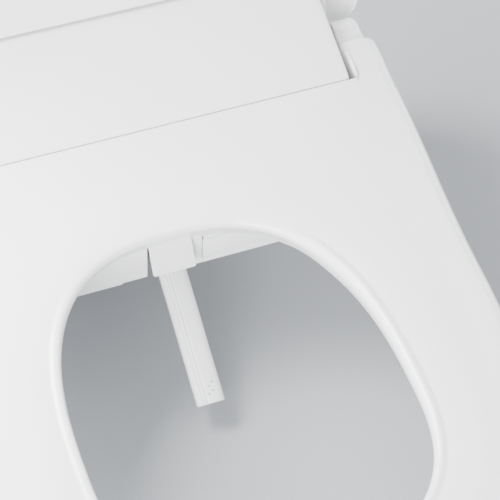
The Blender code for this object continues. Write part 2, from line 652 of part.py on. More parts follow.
def hinged_flap(name, left, right, height, angle, hinge_z):
    """A thin door hung from a pin along its top edge, swung out at its foot by the angle."""
    hinge = frame_empty(name + "_axis", (0.0, FASCIA_FRONT + HINGE_ROLL, hinge_z), -angle)
    leaf = box(name, (left, -HINGE_ROLL, -height), (right, DOOR_THICK - HINGE_ROLL, 0.0))
    join(leaf, rod(name + "_roll", HINGE_ROLL, (left, 0.0, 0.0), (right, 0.0, 0.0), 20))
    cut(leaf, rod(name + "_bore", HINGE_BORE, (left - 0.01, 0, 0), (right + 0.01, 0, 0), 16))
    finish(leaf, name, WHITE, hinge)
    pin = rod(name + "_pin", HINGE_PIN, (left - 0.0004, 0, 0), (right + 0.0004, 0, 0), 16)
    finish(pin, name + "_pin", STEEL, hinge)


# ---------------------------------------------------------------- nozzle
def tooth_profile(teeth, root, tip, start, pitch):
    """Trapezium teeth along a straight rack as (y, z) points, z falling from root to tip."""
    points = []
    for i in range(teeth):
        y = start + i * pitch
        for share, z in ((0.10, root), (0.36, tip), (0.64, tip), (0.90, root)):
            points.append((y + share * pitch, z))
    return points


def nozzle_bar(name, start, end, margin=0.0):
    """A bar of the nozzle's rounded section, grown by a margin, between two places along the nozzle's axis."""
    half_x, half_z = NOZZLE_HALF_X + margin, NOZZLE_HALF_Z + margin
    section = superellipse(0.0, 0.0, half_x, half_z, NOZZLE_POWER, 0, 360, 32)[:-1]
    bar = loft(name, [[(x, y, z) for x, z in section] for y in (start, end)])
    bar.parent = NOZZLE
    return bar


def nozzle_rack(frame):
    """Teeth under the nozzle, with a gap between two of them over the pinion's centre at rest."""
    pitch = math.pi * GEAR_MODULE
    top = -NOZZLE_HALF_Z - CLEARANCE
    tip = top - RACK_DEPTH
    before = int(NOZZLE_TRAVEL / pitch) + 2
    start, teeth = PINION_PLACE - before * pitch, before + 1
    profile = [(start + teeth * pitch, top), (start, top)]
    profile += tooth_profile(teeth, tip + RACK_TOOTH, tip, start, pitch)
    rack = extruded_across("rack", profile, -RACK_HALF, RACK_HALF)
    return finish(rack, "nozzle_rack", GREY, frame)


def pinion_centre():
    """Height of the pinion's centre under the nozzle's axis: its teeth reach between the rack's."""
    rack_tip = -NOZZLE_HALF_Z - CLEARANCE - RACK_DEPTH
    return rack_tip + GEAR_MODULE * 0.55 - GEAR_MODULE * GEAR_TEETH / 2


def nozzle_pinion(frame):
    outer = GEAR_MODULE * (GEAR_TEETH / 2 + 0.45)
    root = GEAR_MODULE * (GEAR_TEETH / 2 - 1.15)
    points = []
    for i in range(GEAR_TEETH):
        for share, radius in ((-0.32, root), (-0.09, outer), (0.09, outer), (0.32, root)):
            angle = math.radians(90.0) + 2 * math.pi * (i + share) / GEAR_TEETH
            points.append((radius * math.cos(angle), radius * math.sin(angle)))
    gear = extruded_across("gear", points, -0.0028, 0.0028)
    cut(gear, rod("gear_bore", PINION_BORE, (-0.01, 0, 0), (0.01, 0, 0), 20))
    axis = frame_empty("pinion_axis", (0, PINION_PLACE, pinion_centre()), 0.0, frame)
    return finish(gear, "nozzle_pinion", GREY, axis)


def nozzle_pieces(frame):
    split = -NOZZLE_REACH + TIP_LENGTH
    body = nozzle_bar("body", split + CLEARANCE, NOZZLE_INSIDE)
    cut(body, rod("nozzle_bore", 0.0040, (0, split - 0.01, 0), (0, NOZZLE_INSIDE + 0.01, 0), 16))
    finish(body, "nozzle_body", TRIM, frame)
    tip = nozzle_bar("tip", -NOZZLE_REACH, split)
    bevel(tip, 0.0012, 2, 60.0)
    spray_y = -NOZZLE_REACH + 0.010
    top = NOZZLE_HALF_Z
    pocket = box("tip_flat", (-0.0036, -NOZZLE_REACH + 0.0035, top - 0.0009), (0.0036, split - 0.006, 0.02))
    well = rod("tip_well", 0.0040, (0, spray_y, 0), (0, split + 0.01, 0), 16)
    cut(tip, pocket, well)
    for dx, dy in ((-0.0014, -0.0016), (0.0014, -0.0016), (-0.0014, 0.0016), (0.0014, 0.0016)):
        cut(tip, rod("jet", 0.0006, (dx, spray_y + 0.003 + dy, 0.0), (dx, spray_y + 0.003 + dy, 0.02), 8))
    finish(tip, "nozzle_tip", TRIM, frame)


def nozzle_axis_z(y):
    """World height of the nozzle's axis at a world Y."""
    return MOUTH_Z + (y - FASCIA_FRONT) * math.tan(NOZZLE_SLOPE)


def nozzle_guide(frame):
    """A saddle over the nozzle's rear part on two side plates that stand on the casing's floor."""
    inner = NOZZLE_HALF_X + GUIDE_GAP
    outer = inner + GUIDE_WALL
    saddle = nozzle_bar("guide_tube", GUIDE_START, GUIDE_END, GUIDE_GAP + GUIDE_WALL)
    cut(saddle, box("guide_half", (-0.05, -0.05, -0.05), (0.05, 0.25, -0.0005)))
    floor = CASE_FLOOR + CASE_WALL + CLEARANCE
    low_y = FASCIA_FRONT + (GUIDE_START + 0.003) * math.cos(NOZZLE_SLOPE)
    high_y = FASCIA_FRONT + (GUIDE_END - 0.003) * math.cos(NOZZLE_SLOPE)
    profile = [(low_y, floor), (high_y, floor), (high_y, nozzle_axis_z(high_y)), (low_y, nozzle_axis_z(low_y))]
    for sign in (1, -1):
        xs = sorted((NOZZLE_X + sign * inner, NOZZLE_X + sign * outer))
        join(saddle, in_world(extruded_across("guide_plate", profile, xs[0], xs[1])))
    cut(saddle, nozzle_bar("guide_bore", -0.05, 0.25, GUIDE_GAP))
    y, z = PINION_PLACE, pinion_centre()
    cut(saddle, rod("guide_shaft_hole", MOTOR_SHAFT + 0.0006, (0, y, z), (-0.03, y, z), 16))
    return finish(saddle, "nozzle_guide", GREY, frame)


def nozzle_motor(frame):
    y, z = PINION_PLACE, pinion_centre()
    start = -(NOZZLE_HALF_X + GUIDE_GAP + GUIDE_WALL + CLEARANCE)
    motor = rod("motor", 0.0058, (start, y, z), (start - 0.018, y, z), 28)
    bevel(motor, 0.0006, 1)
    join(motor, rod("motor_shaft", MOTOR_SHAFT, (0.0035, y, z), (start - 0.002, y, z), 16))
    return finish(motor, "nozzle_motor", STEEL, frame)


# ---------------------------------------------------------------- inside the housing
DRAWER = (0.040, 0.088, 0.012, 0.038)  # low and high Y, low and high Z of the filter drawer
INLET_X, GLAND_X, PORT_Z = -0.112, 0.150, 0.027


def dryer_duct():
    low_z, high_z = FLAP_HINGE_Z - FLAP_HEIGHT + 0.0006, DUCT_TOP
    left, right = FLAP_LEFT + 0.002, FLAP_RIGHT - 0.002
    front = FASCIA_FRONT + FASCIA_THICK + CLEARANCE
    rear = FAN_Y - FAN_RADIUS + 0.006
    duct = box("duct", (left, front, low_z), (right, rear, high_z))
    core = box("duct_core", (left + DUCT_WALL, front - 0.01, low_z + DUCT_WALL), (right - DUCT_WALL, rear + 0.01, high_z - DUCT_WALL))
    gap = rod("duct_fan_room", FAN_RADIUS + CLEARANCE, (FAN_X, FAN_Y, 0), (FAN_X, FAN_Y, 0.06), 48)
    cut(duct, core, gap)
    finish(duct, "dryer_duct", GREY)
    rows = 6
    points = []
    for i in range(rows):
        y = front + 0.006 + i * 0.0045
        xs = (left + 0.005, right - 0.005)
        points += [(x, y, (low_z + high_z) / 2) for x in (xs if i % 2 == 0 else xs[::-1])]
    finish(tube("element", points, 0.0014), "dryer_heater", FOIL)


def fan():
    shell = rod("fan_shell", FAN_RADIUS, (FAN_X, FAN_Y, FAN_BOTTOM), (FAN_X, FAN_Y, FAN_TOP), 48)
    room = rod("fan_room", FAN_RADIUS - 0.002, (FAN_X, FAN_Y, FAN_BOTTOM + 0.002), (FAN_X, FAN_Y, FAN_TOP - 0.002), 48)
    inlet = rod("fan_inlet", 0.020, (FAN_X, FAN_Y, FAN_TOP - 0.01), (FAN_X, FAN_Y, FAN_TOP + 0.01), 32)
    outlet = box("fan_outlet", (FAN_X - FAN_RADIUS + 0.004, FAN_Y - FAN_RADIUS - 0.01, 0.0145), (FLAP_RIGHT - 0.006, FAN_Y - 0.02, 0.0285))
    cut(shell, room, inlet, outlet)
    finish(shell, "fan_housing", GREY)
    motor = rod("fan_motor", 0.012, (FAN_X, FAN_Y, FAN_BOTTOM + 0.0023), (FAN_X, FAN_Y, FAN_BOTTOM + 0.009), 28)
    finish(motor, "fan_motor", STEEL)
    fan_rotor()


def fan_rotor():
    axis = frame_empty("fan_axis", (FAN_X, FAN_Y, 0.0))
    low, high = FAN_BOTTOM + 0.0100, FAN_TOP - 0.0040
    hub = rod("rotor_hub", 0.013, (0, 0, low), (0, 0, high - 0.006), 28)
    disc = rod("rotor_disc", 0.036, (0, 0, low), (0, 0, low + 0.0016), 36)
    join(hub, disc)
    blades = 10
    for i in range(blades):
        blade = box("blade", (0.0240, -0.0007, low), (0.0350, 0.0007, high))
        blade.data.transform(Matrix.Rotation(math.radians(30), 4, "Z"))
        shift = Matrix.Translation((0.006, -0.013, 0.0))
        blade.data.transform(Matrix.Rotation(2 * math.pi * i / blades, 4, "Z") @ shift)
        join(hub, blade)
    return finish(hub, "fan_rotor", TRIM, axis)


def water_parts():
    tank = box("tank", (-0.150, -0.034, 0.0080), (-0.060, 0.026, 0.0400))
    bevel(tank, 0.004, 2)
    spigot = rod("tank_spigot", 0.0045, (-0.075, 0.020, 0.030), (-0.075, 0.034, 0.030), 20)
    join(tank, spigot)
    finish(tank, "water_heater", TRIM)
    valve = box("valve", (-0.124, 0.052, PORT_Z - 0.012), (-0.100, 0.090, PORT_Z + 0.009))
    coil = rod("valve_coil", 0.0100, (INLET_X, 0.066, PORT_Z), (INLET_X, 0.066, PORT_Z + 0.0235), 28)
    join(valve, coil)
    stub = rod("valve_stub", 0.0045, (-0.101, 0.060, PORT_Z), (-0.088, 0.060, PORT_Z), 20)
    join(valve, stub)
    finish(valve, "solenoid_valve", GREY)
    hose_points = [(-0.0876, 0.060, PORT_Z), (-0.0822, 0.060, PORT_Z), (-0.0772, 0.0556, PORT_Z + 0.0012),
                   (-0.0752, 0.0475, PORT_Z + 0.0024), (-0.0750, 0.0400, 0.030), (-0.075, 0.0343, 0.030)]
    finish(tube("hose", hose_points, 0.0042), "feed_hose", PALE)
    inlet = rod("inlet_flange", 0.0135, (INLET_X, 0.0905, PORT_Z), (INLET_X, CASE_REAR - CASE_WALL - CLEARANCE, PORT_Z), 6)
    thread = rod("inlet_thread", 0.0104, (INLET_X, 0.092, PORT_Z), (INLET_X, CASE_REAR + 0.016, PORT_Z), 32)
    join(inlet, thread)
    bore = rod("inlet_bore", 0.0065, (INLET_X, 0.094, PORT_Z), (INLET_X, 0.130, PORT_Z), 24)
    cut(inlet, bore)
    finish(inlet, "water_inlet", BRASS)


def cord_gland():
    inner = CASE_REAR - CASE_WALL - CLEARANCE
    body = rod("gland", 0.0098, (GLAND_X, inner - 0.004, PORT_Z), (GLAND_X, inner, PORT_Z), 28)
    neck = rod("gland_neck", 0.0072, (GLAND_X, inner - 0.001, PORT_Z), (GLAND_X, CASE_REAR + 0.006, PORT_Z), 28)
    join(body, neck)
    bore = rod("gland_bore", 0.0035, (GLAND_X, 0.08, PORT_Z), (GLAND_X, 0.12, PORT_Z), 20)
    cut(body, bore)
    return finish(body, "cord_gland", DARK)


def control_board():
    board = box("board", (0.045, 0.057, 0.0100), (0.122, 0.090, 0.0116))
    for low, high in (
        ((0.050, 0.062, 0.011), (0.068, 0.084, 0.027)),
        ((0.074, 0.066, 0.011), (0.088, 0.080, 0.015)),
        ((0.094, 0.060, 0.011), (0.116, 0.070, 0.020)),
        ((0.096, 0.076, 0.011), (0.104, 0.086, 0.023)),
    ):
        join(board, box("component", low, high))
    return finish(board, "control_board", BOARD)


def filter_drawer():
    low_y, high_y, low_z, high_z = DRAWER
    outer, inner = -CASE_HALF - 0.0006, -0.146
    drawer = box("drawer", (outer, low_y, low_z), (inner, high_y, high_z))
    wall = 0.002
    tray = box("drawer_tray", (outer + 0.003, low_y + wall, low_z + wall), (inner - wall, high_y - wall, high_z + 0.01))
    grip = box("drawer_grip", (outer - 0.01, low_y + 0.014, high_z - 0.006), (outer + 0.0015, high_y - 0.014, high_z - 0.002))
    cut(drawer, tray, grip)
    finish(drawer, "filter_drawer", WHITE)
    gap = wall + CLEARANCE
    cartridge = box("cartridge", (outer + 0.003 + CLEARANCE, low_y + gap, low_z + gap), (inner - gap, high_y - gap, high_z - 0.002))
    bevel(cartridge, 0.0008, 1)
    finish(cartridge, "filter_cartridge", CARBON)


def side_controls():
    inner = CASE_HALF - CASE_WALL - 0.004
    for name, y in zip(("power_button", "wash_button"), BUTTON_Y):
        cap = rod("cap", BUTTON_RADIUS, (inner, y, BUTTON_Z), (CASE_HALF + 0.0022, y, BUTTON_Z), 28)
        bevel(cap, 0.0007, 1)
        finish(cap, name, TRIM)
    low, high = (inner, RELEASE_Y - 0.008, RELEASE_Z - 0.005), (CASE_HALF + 0.0042, RELEASE_Y + 0.008, RELEASE_Z + 0.005)
    button = box("release", low, high)
    bevel(button, 0.0008, 1)
    finish(button, "release_button", GREY)
    bar = box("latch", (0.128, RELEASE_Y - 0.004, RELEASE_Z - 0.0045), (inner - CLEARANCE, RELEASE_Y + 0.004, RELEASE_Z - 0.0005))
    finish(bar, "release_latch", STEEL)


# ---------------------------------------------------------------- fixing to the bowl
def mounting():
    plate = box("mount", (-PLATE_HALF_X, -PLATE_HALF_Y, 0.0), (PLATE_HALF_X, PLATE_HALF_Y, PLATE_HEIGHT))
    for sign in (1, -1):
        x = sign * BOLT_X
        slot = box("mount_slot", (x - BOLT_RADIUS - 0.0006, -SLOT_HALF, -0.01), (x + BOLT_RADIUS + 0.0006, SLOT_HALF, 0.01))
        cut(plate, slot)
    finish(plate, "mounting_plate", GREY)
    for side, sign in (("right", 1), ("left", -1)):
        x = sign * BOLT_X
        head = rod("bolt_head", 0.0115, (x, 0, PLATE_HEIGHT + CLEARANCE), (x, 0, PLATE_HEIGHT + 0.0032), 28)
        shank = rod("bolt_shank", BOLT_RADIUS, (x, 0, PLATE_HEIGHT + 0.002), (x, 0, PLATE_HEIGHT + 0.003 - BOLT_LENGTH), 20)
        join(head, shank)
        finish(head, f"mounting_bolt_{side}", STEEL)
        bush = rod("bush", 0.0080, (x, 0, -0.0100), (x, 0, -0.0340), 24, 0.0120)
        cut(bush, rod("bush_bore", BOLT_RADIUS + CLEARANCE, (x, 0, 0), (x, 0, -0.06), 20))
        finish(bush, f"bolt_bush_{side}", DARK)
        nut = rod("nut", 0.0130, (x, 0, -0.0344), (x, 0, -0.0480), 8, 0.0100)
        cut(nut, rod("nut_bore", BOLT_RADIUS + CLEARANCE, (x, 0, 0), (x, 0, -0.06), 20))
        finish(nut, f"bolt_nut_{side}", TRIM)


def cover_screws():
    for side, sign in (("right", 1), ("left", -1)):
        x, y = sign * SCREW_X, SCREW_Y
        head = rod("screw_head", 0.0040, (x, y, CASE_FLOOR - 0.0022), (x, y, CASE_FLOOR - CLEARANCE), 20)
        shank = rod("screw_shank", 0.0018, (x, y, CASE_FLOOR - 0.001), (x, y, CASE_FLOOR + 0.014), 14)
        join(head, shank)
        finish(head, f"cover_screw_{side}", STEEL)


# ---------------------------------------------------------------- build
clear_scene()
PARTS = new_collection("electric_bidet_seat")
HELPERS = new_collection("cutters_and_axes", helper=True)
DECK = frame_empty("deck_frame", (0, HINGE_Y, HINGE_Z), DECK_TILT)
SEAT = frame_empty("seat_axis", (0, HINGE_Y, HINGE_Z), DECK_TILT)
LID = frame_empty("lid_axis", (0, HINGE_Y, HINGE_Z), DECK_TILT - LID_OPEN)
NOZZLE = frame_empty("nozzle_axis", (NOZZLE_X, FASCIA_FRONT, MOUTH_Z), NOZZLE_SLOPE)

mounting()
base_casing()
deck_cover()
top_cover()
nozzle_fascia()
hinged_flap("nozzle_door", DOOR_X - DOOR_HALF, DOOR_X + DOOR_HALF, DOOR_HEIGHT, DOOR_OPEN, DOOR_HINGE_Z)
hinged_flap("dryer_flap", FLAP_LEFT, FLAP_RIGHT, FLAP_HEIGHT, 0.0, FLAP_HINGE_Z)
nozzle_pieces(NOZZLE)
nozzle_rack(NOZZLE)
nozzle_pinion(NOZZLE)
nozzle_guide(NOZZLE)
nozzle_motor(NOZZLE)
dryer_duct()
fan()
water_parts()
cord_gland()
control_board()
filter_drawer()
side_controls()
cover_screws()
hinge_damper("lid_damper", 1)
hinge_damper("seat_damper", -1)
hinge_shaft("lid_shaft", 1, LID)
hinge_shaft("seat_shaft", -1, SEAT)
seat_upper(SEAT)
seat_lower(SEAT)
seat_mat(SEAT)
seat_bumpers(SEAT)
seat_barrels(SEAT)
lid_shell(LID)
lid_liner(LID)
lid_bumpers(LID)
bpy.context.view_layer.update()
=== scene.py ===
"""Looks for the electric bidet seat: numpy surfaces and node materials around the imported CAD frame.

Lengths are in metres, in the CAD frame: +X right seen from the front, +Y to the rear, +Z up, with the
origin under the middle of the mounting plate. The seat, lid and cover are drawn in the deck frame, whose
origin is on the hinge line and which falls to the front. The lid is drawn shut and then turned open.
"""

from __future__ import annotations

import json
import logging
import math
from dataclasses import dataclass, field
from enum import Enum
from typing import Any, Sequence

import bmesh
import bpy
import numpy as np
from mathutils import Matrix, Vector

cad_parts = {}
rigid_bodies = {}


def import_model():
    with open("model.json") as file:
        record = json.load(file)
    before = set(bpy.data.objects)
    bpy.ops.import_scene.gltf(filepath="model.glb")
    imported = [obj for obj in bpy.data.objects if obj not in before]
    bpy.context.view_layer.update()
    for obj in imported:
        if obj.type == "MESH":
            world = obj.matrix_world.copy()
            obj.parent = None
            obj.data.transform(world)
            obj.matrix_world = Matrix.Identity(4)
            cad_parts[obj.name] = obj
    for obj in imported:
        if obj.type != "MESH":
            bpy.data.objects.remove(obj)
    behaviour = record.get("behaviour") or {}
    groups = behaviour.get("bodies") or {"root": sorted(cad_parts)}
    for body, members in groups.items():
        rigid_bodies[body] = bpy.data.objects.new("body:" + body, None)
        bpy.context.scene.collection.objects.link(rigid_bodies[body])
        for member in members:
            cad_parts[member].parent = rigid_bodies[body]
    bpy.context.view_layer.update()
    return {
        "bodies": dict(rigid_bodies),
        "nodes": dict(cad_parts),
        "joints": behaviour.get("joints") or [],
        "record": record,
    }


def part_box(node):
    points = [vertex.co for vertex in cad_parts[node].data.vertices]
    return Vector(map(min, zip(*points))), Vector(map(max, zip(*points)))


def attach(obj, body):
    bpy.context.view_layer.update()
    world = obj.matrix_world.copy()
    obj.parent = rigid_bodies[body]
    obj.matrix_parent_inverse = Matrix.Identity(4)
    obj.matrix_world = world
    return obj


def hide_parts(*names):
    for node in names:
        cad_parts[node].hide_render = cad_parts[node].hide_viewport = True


LOG = logging.getLogger("bidet_seat")
Array = np.ndarray


# ---- frames of reference
@dataclass(frozen=True)
class Place:
    """A frame turned about X and moved, in which a sub-assembly is drawn."""

    origin: tuple[float, float, float]
    turn: float

    def world(self, points: Array) -> Array:
        """Carries points out to the CAD frame.

        Args:
            points: An array whose last axis is x, y, z.
        Returns:
            An array of the same shape, turned about X by the frame's angle and then moved to its origin.
        """
        c, s = math.cos(self.turn), math.sin(self.turn)
        x, y, z = points[..., 0], points[..., 1], points[..., 2]
        turned = np.stack([x, y * c - z * s, y * s + z * c], axis=-1)
        return turned + np.array(self.origin)


DECK_TILT = math.radians(5.0)
HINGE = (0.0, 0.045, 0.070)
DECK = Place(HINGE, DECK_TILT)
LID = Place(HINGE, DECK_TILT - math.radians(105.0))
NOZZLE_TURN = math.radians(32.0)
NOZZLE_ROOT = (-0.0805, 0.0086)  # y and z of the point on the nozzle's axis where it leaves the front wall


# ---- meshes from grids
@dataclass
class Skin:
    """Vertices and faces gathered for one piece."""

    points: list[Array] = field(default_factory=list)
    faces: list[tuple[int, ...]] = field(default_factory=list)
    count: int = 0

    def add(self, points: Array) -> int:
        """Adds points and returns the index of the first."""
        start = self.count
        self.points.append(points.reshape(-1, 3))
        self.count += self.points[-1].shape[0]
        return start

    def tube(self, rows: Array, wrap: bool = False) -> Skin:
        """Joins closed rings in order: point j of ring i meets j + 1 and the same two points of ring i + 1.

        Args:
            rows: Rings as an array of ring, point, xyz.
            wrap: Whether the last ring joins the first, which makes a torus; otherwise both ends are closed.
        Returns:
            This skin.
        """
        m, n = rows.shape[:2]
        start = self.add(rows)
        i = np.arange(m if wrap else m - 1)[:, None]
        j = np.arange(n)[None, :]
        a, b = i * n + j, i * n + (j + 1) % n
        below = ((i + 1) % m) * n
        quads = np.stack([a, b, below + (j + 1) % n, below + j], axis=-1).reshape(-1, 4) + start
        self.faces += [tuple(q) for q in quads.tolist()]
        if not wrap:
            self._fan(rows[0], start, True)
            self._fan(rows[-1], start + (m - 1) * n, False)
        return self

    def _fan(self, ring: Array, first: int, flip: bool) -> None:
        """Closes one ring with triangles to its middle."""
        middle = np.full(len(ring), self.add(ring.mean(axis=0)))
        near = first + np.arange(len(ring))
        far = np.roll(near, -1)
        fan = np.stack([middle, far, near] if flip else [middle, near, far], axis=-1)
        self.faces += [tuple(f) for f in fan.tolist()]

    def mesh(self, name: str, place: Place, smooth: float) -> bpy.types.Object:
        """Makes the mesh object.

        Args:
            name: The piece's name.
            place: The frame that its points are in.
            smooth: The largest angle in degrees that is shaded smooth.
        Returns:
            The object, at the origin, with its faces turned outwards.
        """
        data = bpy.data.meshes.new(name)
        data.from_pydata(place.world(np.concatenate(self.points)).tolist(), [], self.faces)
        data.update()
        obj = bpy.data.objects.new(name, data)
        bpy.context.scene.collection.objects.link(obj)
        face_outwards(obj)
        data.shade_smooth()
        data.set_sharp_from_angle(angle=math.radians(smooth))
        return obj


def face_outwards(obj: bpy.types.Object) -> None:
    """Turns a closed mesh's faces outwards, by the sign of the volume that they enclose."""
    bm = bmesh.new()
    bm.from_mesh(obj.data)
    bmesh.ops.remove_doubles(bm, verts=bm.verts, dist=1e-6)
    bmesh.ops.recalc_face_normals(bm, faces=bm.faces)
    if bm.calc_volume(signed=True) < 0:
        bmesh.ops.reverse_faces(bm, faces=bm.faces)
    bm.to_mesh(obj.data)
    bm.free()


# ---- curves in a plane
def superellipse(half_x: float, half_y: float, power: float, angles: Array) -> Array:
    """Points of |x / half_x| ^ power + |y / half_y| ^ power = 1, at parameter angles in radians."""
    c, s = np.cos(angles), np.sin(angles)
    x = half_x * np.sign(c) * np.abs(c) ** (2 / power)
    y = half_y * np.sign(s) * np.abs(s) ** (2 / power)
    return np.stack([x, y], axis=-1)


def arc(centre: tuple[float, float], radius: float, start: float, end: float, count: int) -> Array:
    """Points of a circle's arc between two angles in degrees."""
    a = np.radians(np.linspace(start, end, count))
    return np.stack([centre[0] + radius * np.cos(a), centre[1] + radius * np.sin(a)], axis=-1)


def line(start: Sequence[float], end: Sequence[float], count: int) -> Array:
    """Evenly spaced points of a straight line, with the end point left out."""
    t = np.linspace(0.0, 1.0, count, endpoint=False)[:, None]
    return (1 - t) * np.array(start, float) + t * np.array(end, float)


def both_sides(half: Array) -> Array:
    """A closed outline from its half at x >= 0, whose first and last points are on the centre line."""
    other = half[-2:0:-1].copy()
    other[:, 0] *= -1
    return np.concatenate([half, other])


def outward(outline: Array) -> Array:
    """Unit normals of a closed outline that runs clockwise, from the chord between a point's neighbours."""
    chord = np.roll(outline, -1, axis=0) - np.roll(outline, 1, axis=0)
    normal = np.stack([-chord[:, 1], chord[:, 0]], axis=-1)
    normal /= np.linalg.norm(normal, axis=1, keepdims=True)
    return normal


def at_height(outline: Array, height: Array | float) -> Array:
    """A plane outline lifted to a height, one for all points or one for each."""
    z = np.broadcast_to(np.asarray(height, float), outline.shape[:1])
    return np.concatenate([outline, z[:, None]], axis=1)


def ease(t: Array) -> Array:
    """The smooth step 3 t^2 - 2 t^3 of a value held between 0 and 1."""
    t = np.clip(t, 0.0, 1.0)
    return t * t * (3 - 2 * t)


def quarter(radius: Any, count: int) -> list[tuple[Any, Any]]:
    """A quarter round in steps of an angle a: radius (1 - sin a) to its end and radius (1 - cos a) inwards.

    Args:
        radius: One radius, or an array with one for each point.
        count: The number of steps, from the side to the end.
    Returns:
        Pairs of the distance left to the end and the inset.
    """
    angles = np.radians(np.linspace(0, 90, count))
    return [(radius * (1 - math.sin(a)), radius * (1 - math.cos(a))) for a in angles]


def rounded_ends(
    low: float, high: float, edges: tuple[float, float], count: int
) -> list[tuple[float, float]]:
    """Places along a block and their insets, with a quarter round of its own radius at each end."""
    start = [(low + left, inset) for left, inset in quarter(edges[0], count)[::-1]]
    return start + [(high - left, inset) for left, inset in quarter(edges[1], count)]


# ---- the plan that the seat and lid share
@dataclass(frozen=True)
class Plan:
    """The outline of the seat or lid from above: straight rear, an arm beside the cover, a round front."""

    notch_x: float
    notch_y: float
    arm_end: float
    corner: float
    margin: float = 0.0
    fillet: float = 0.003
    seam: float = -0.050
    length: float = 0.430
    shoulder: float = 0.180
    half_rear: float = 0.200
    half_front: float = 0.1915
    power: float = 2.3
    counts: tuple[int, ...] = (36, 6, 14, 6, 8, 10, 60, 64)

    def side(self, y: Array) -> Array:
        """Half width at a place: half_front, with a smooth step up to half_rear towards the hinge."""
        share = ease((y - (self.seam - self.shoulder)) / self.shoulder)
        return self.half_front + (self.half_rear - self.half_front) * share + self.margin

    def half(self) -> Array:
        """The half outline at x >= 0, from the middle of the rear edge round to the front."""
        a, b, c, d, e, f, g, h = self.counts
        r, corner = self.fillet, self.corner
        outer = float(self.side(np.array(self.arm_end)))
        start = self.seam - self.shoulder
        y = np.linspace(self.arm_end - corner, start, g, endpoint=False)[1:]
        front = superellipse(
            float(self.side(np.array(start))),
            self.length - self.shoulder + self.margin,
            self.power,
            np.linspace(0, -math.pi / 2, h),
        )
        front[:, 1] += start
        front[-1, 0] = 0.0
        return np.concatenate(
            [
                line((0.0, self.notch_y), (self.notch_x - r, self.notch_y), a),
                arc((self.notch_x - r, self.notch_y + r), r, -90, 0, b),
                line((self.notch_x, self.notch_y + r), (self.notch_x, self.arm_end - r), c)[1:],
                arc((self.notch_x + r, self.arm_end - r), r, 180, 90, d),
                line((self.notch_x + r, self.arm_end), (outer - corner, self.arm_end), e)[1:],
                arc((outer - corner, self.arm_end - corner), corner, 90, 0, f),
                np.stack([self.side(y), y], axis=-1),
                front,
            ]
        )

    def ring(self) -> tuple[Array, Array, Array]:
        """The closed outline, its normals, and each point's number counted from the middle of the rear."""
        outline = both_sides(self.half())
        size = len(outline)
        order = np.minimum(np.arange(size), size - np.arange(size))
        return outline, outward(outline), order

    def splits(self) -> tuple[int, int, int, int]:
        """Where the half outline leaves the rear edge, reaches the side and the front curve, and ends."""
        a, b, c, d, e, f, g, h = self.counts
        arm_start = a + b
        side_start = a + b + (c - 1) + d + (e - 1) + f
        front_start = side_start + g - 1
        return arm_start, side_start, front_start, front_start + h

    def inner_half(self, inset: float) -> Array:
        """The half outline without its arms: all arm points gather on a short line at the rear corner."""
        arm, side, front, end = self.splits()
        whole = self.half()
        y = self.notch_y - inset
        made = whole.copy()
        made[:arm, 1] = y
        corner_in = self.notch_x - 0.006
        corner_out = float(self.side(np.array(y))) - inset
        made[:arm, 0] = np.linspace(0.0, corner_in, arm)
        t = np.linspace(0.0, 1.0, side - arm + 1)[1:]
        made[arm:side, 0] = corner_in + (corner_out - corner_in) * t
        made[arm:side, 1] = y
        ys = np.linspace(y, whole[front, 1], front - side + 1)[1:]
        made[side:front, 0] = self.side(ys) - inset
        made[side:front, 1] = ys
        ring = both_sides(whole)
        made[front:] = (ring - outward(ring) * inset)[front:end]
        made[-1, 0] = 0.0
        return made


def opening_half(plan: Plan, half_x: float, centre: float, rear: float, front: float, power: float) -> Array:
    """The seat's opening as two half superellipses, with its points matched to those of the outer plan."""
    arm, side, turn, end = plan.splits()
    angles = np.radians(
        np.concatenate(
            [
                np.linspace(90, 50, arm, endpoint=False),
                np.linspace(50, 42, side - arm, endpoint=False),
                np.linspace(42, -12, turn - side, endpoint=False),
                np.linspace(-12, -90, end - turn),
            ]
        )
    )
    rear_part = superellipse(half_x, rear, power, angles)
    front_part = superellipse(half_x, front, power, angles)
    made = np.where(angles[:, None] >= 0, rear_part, front_part)
    made[:, 1] += centre
    made[0, 0] = made[-1, 0] = 0.0
    return made


# ---- shader graphs
class Value:
    """A shader socket that can be used in sums: each operator adds a Math node."""

    def __init__(self, graph: Graph, socket: Any) -> None:
        """Keeps the socket and the graph that it is in."""
        self.graph = graph
        self.socket = socket

    def _math(self, operation: str, first: Any, second: Any) -> Value:
        """Adds one Math node."""
        return self.graph.node("ShaderNodeMath", {"operation": operation}, {0: first, 1: second})

    def __add__(self, other: Any) -> Value:
        """self + other."""
        return self._math("ADD", self, other)

    def __radd__(self, other: Any) -> Value:
        """other + self."""
        return self._math("ADD", other, self)

    def __sub__(self, other: Any) -> Value:
        """self - other."""
        return self._math("SUBTRACT", self, other)

    def __rsub__(self, other: Any) -> Value:
        """other - self."""
        return self._math("SUBTRACT", other, self)

    def __mul__(self, other: Any) -> Value:
        """self * other."""
        return self._math("MULTIPLY", self, other)

    def __rmul__(self, other: Any) -> Value:
        """other * self."""
        return self._math("MULTIPLY", other, self)


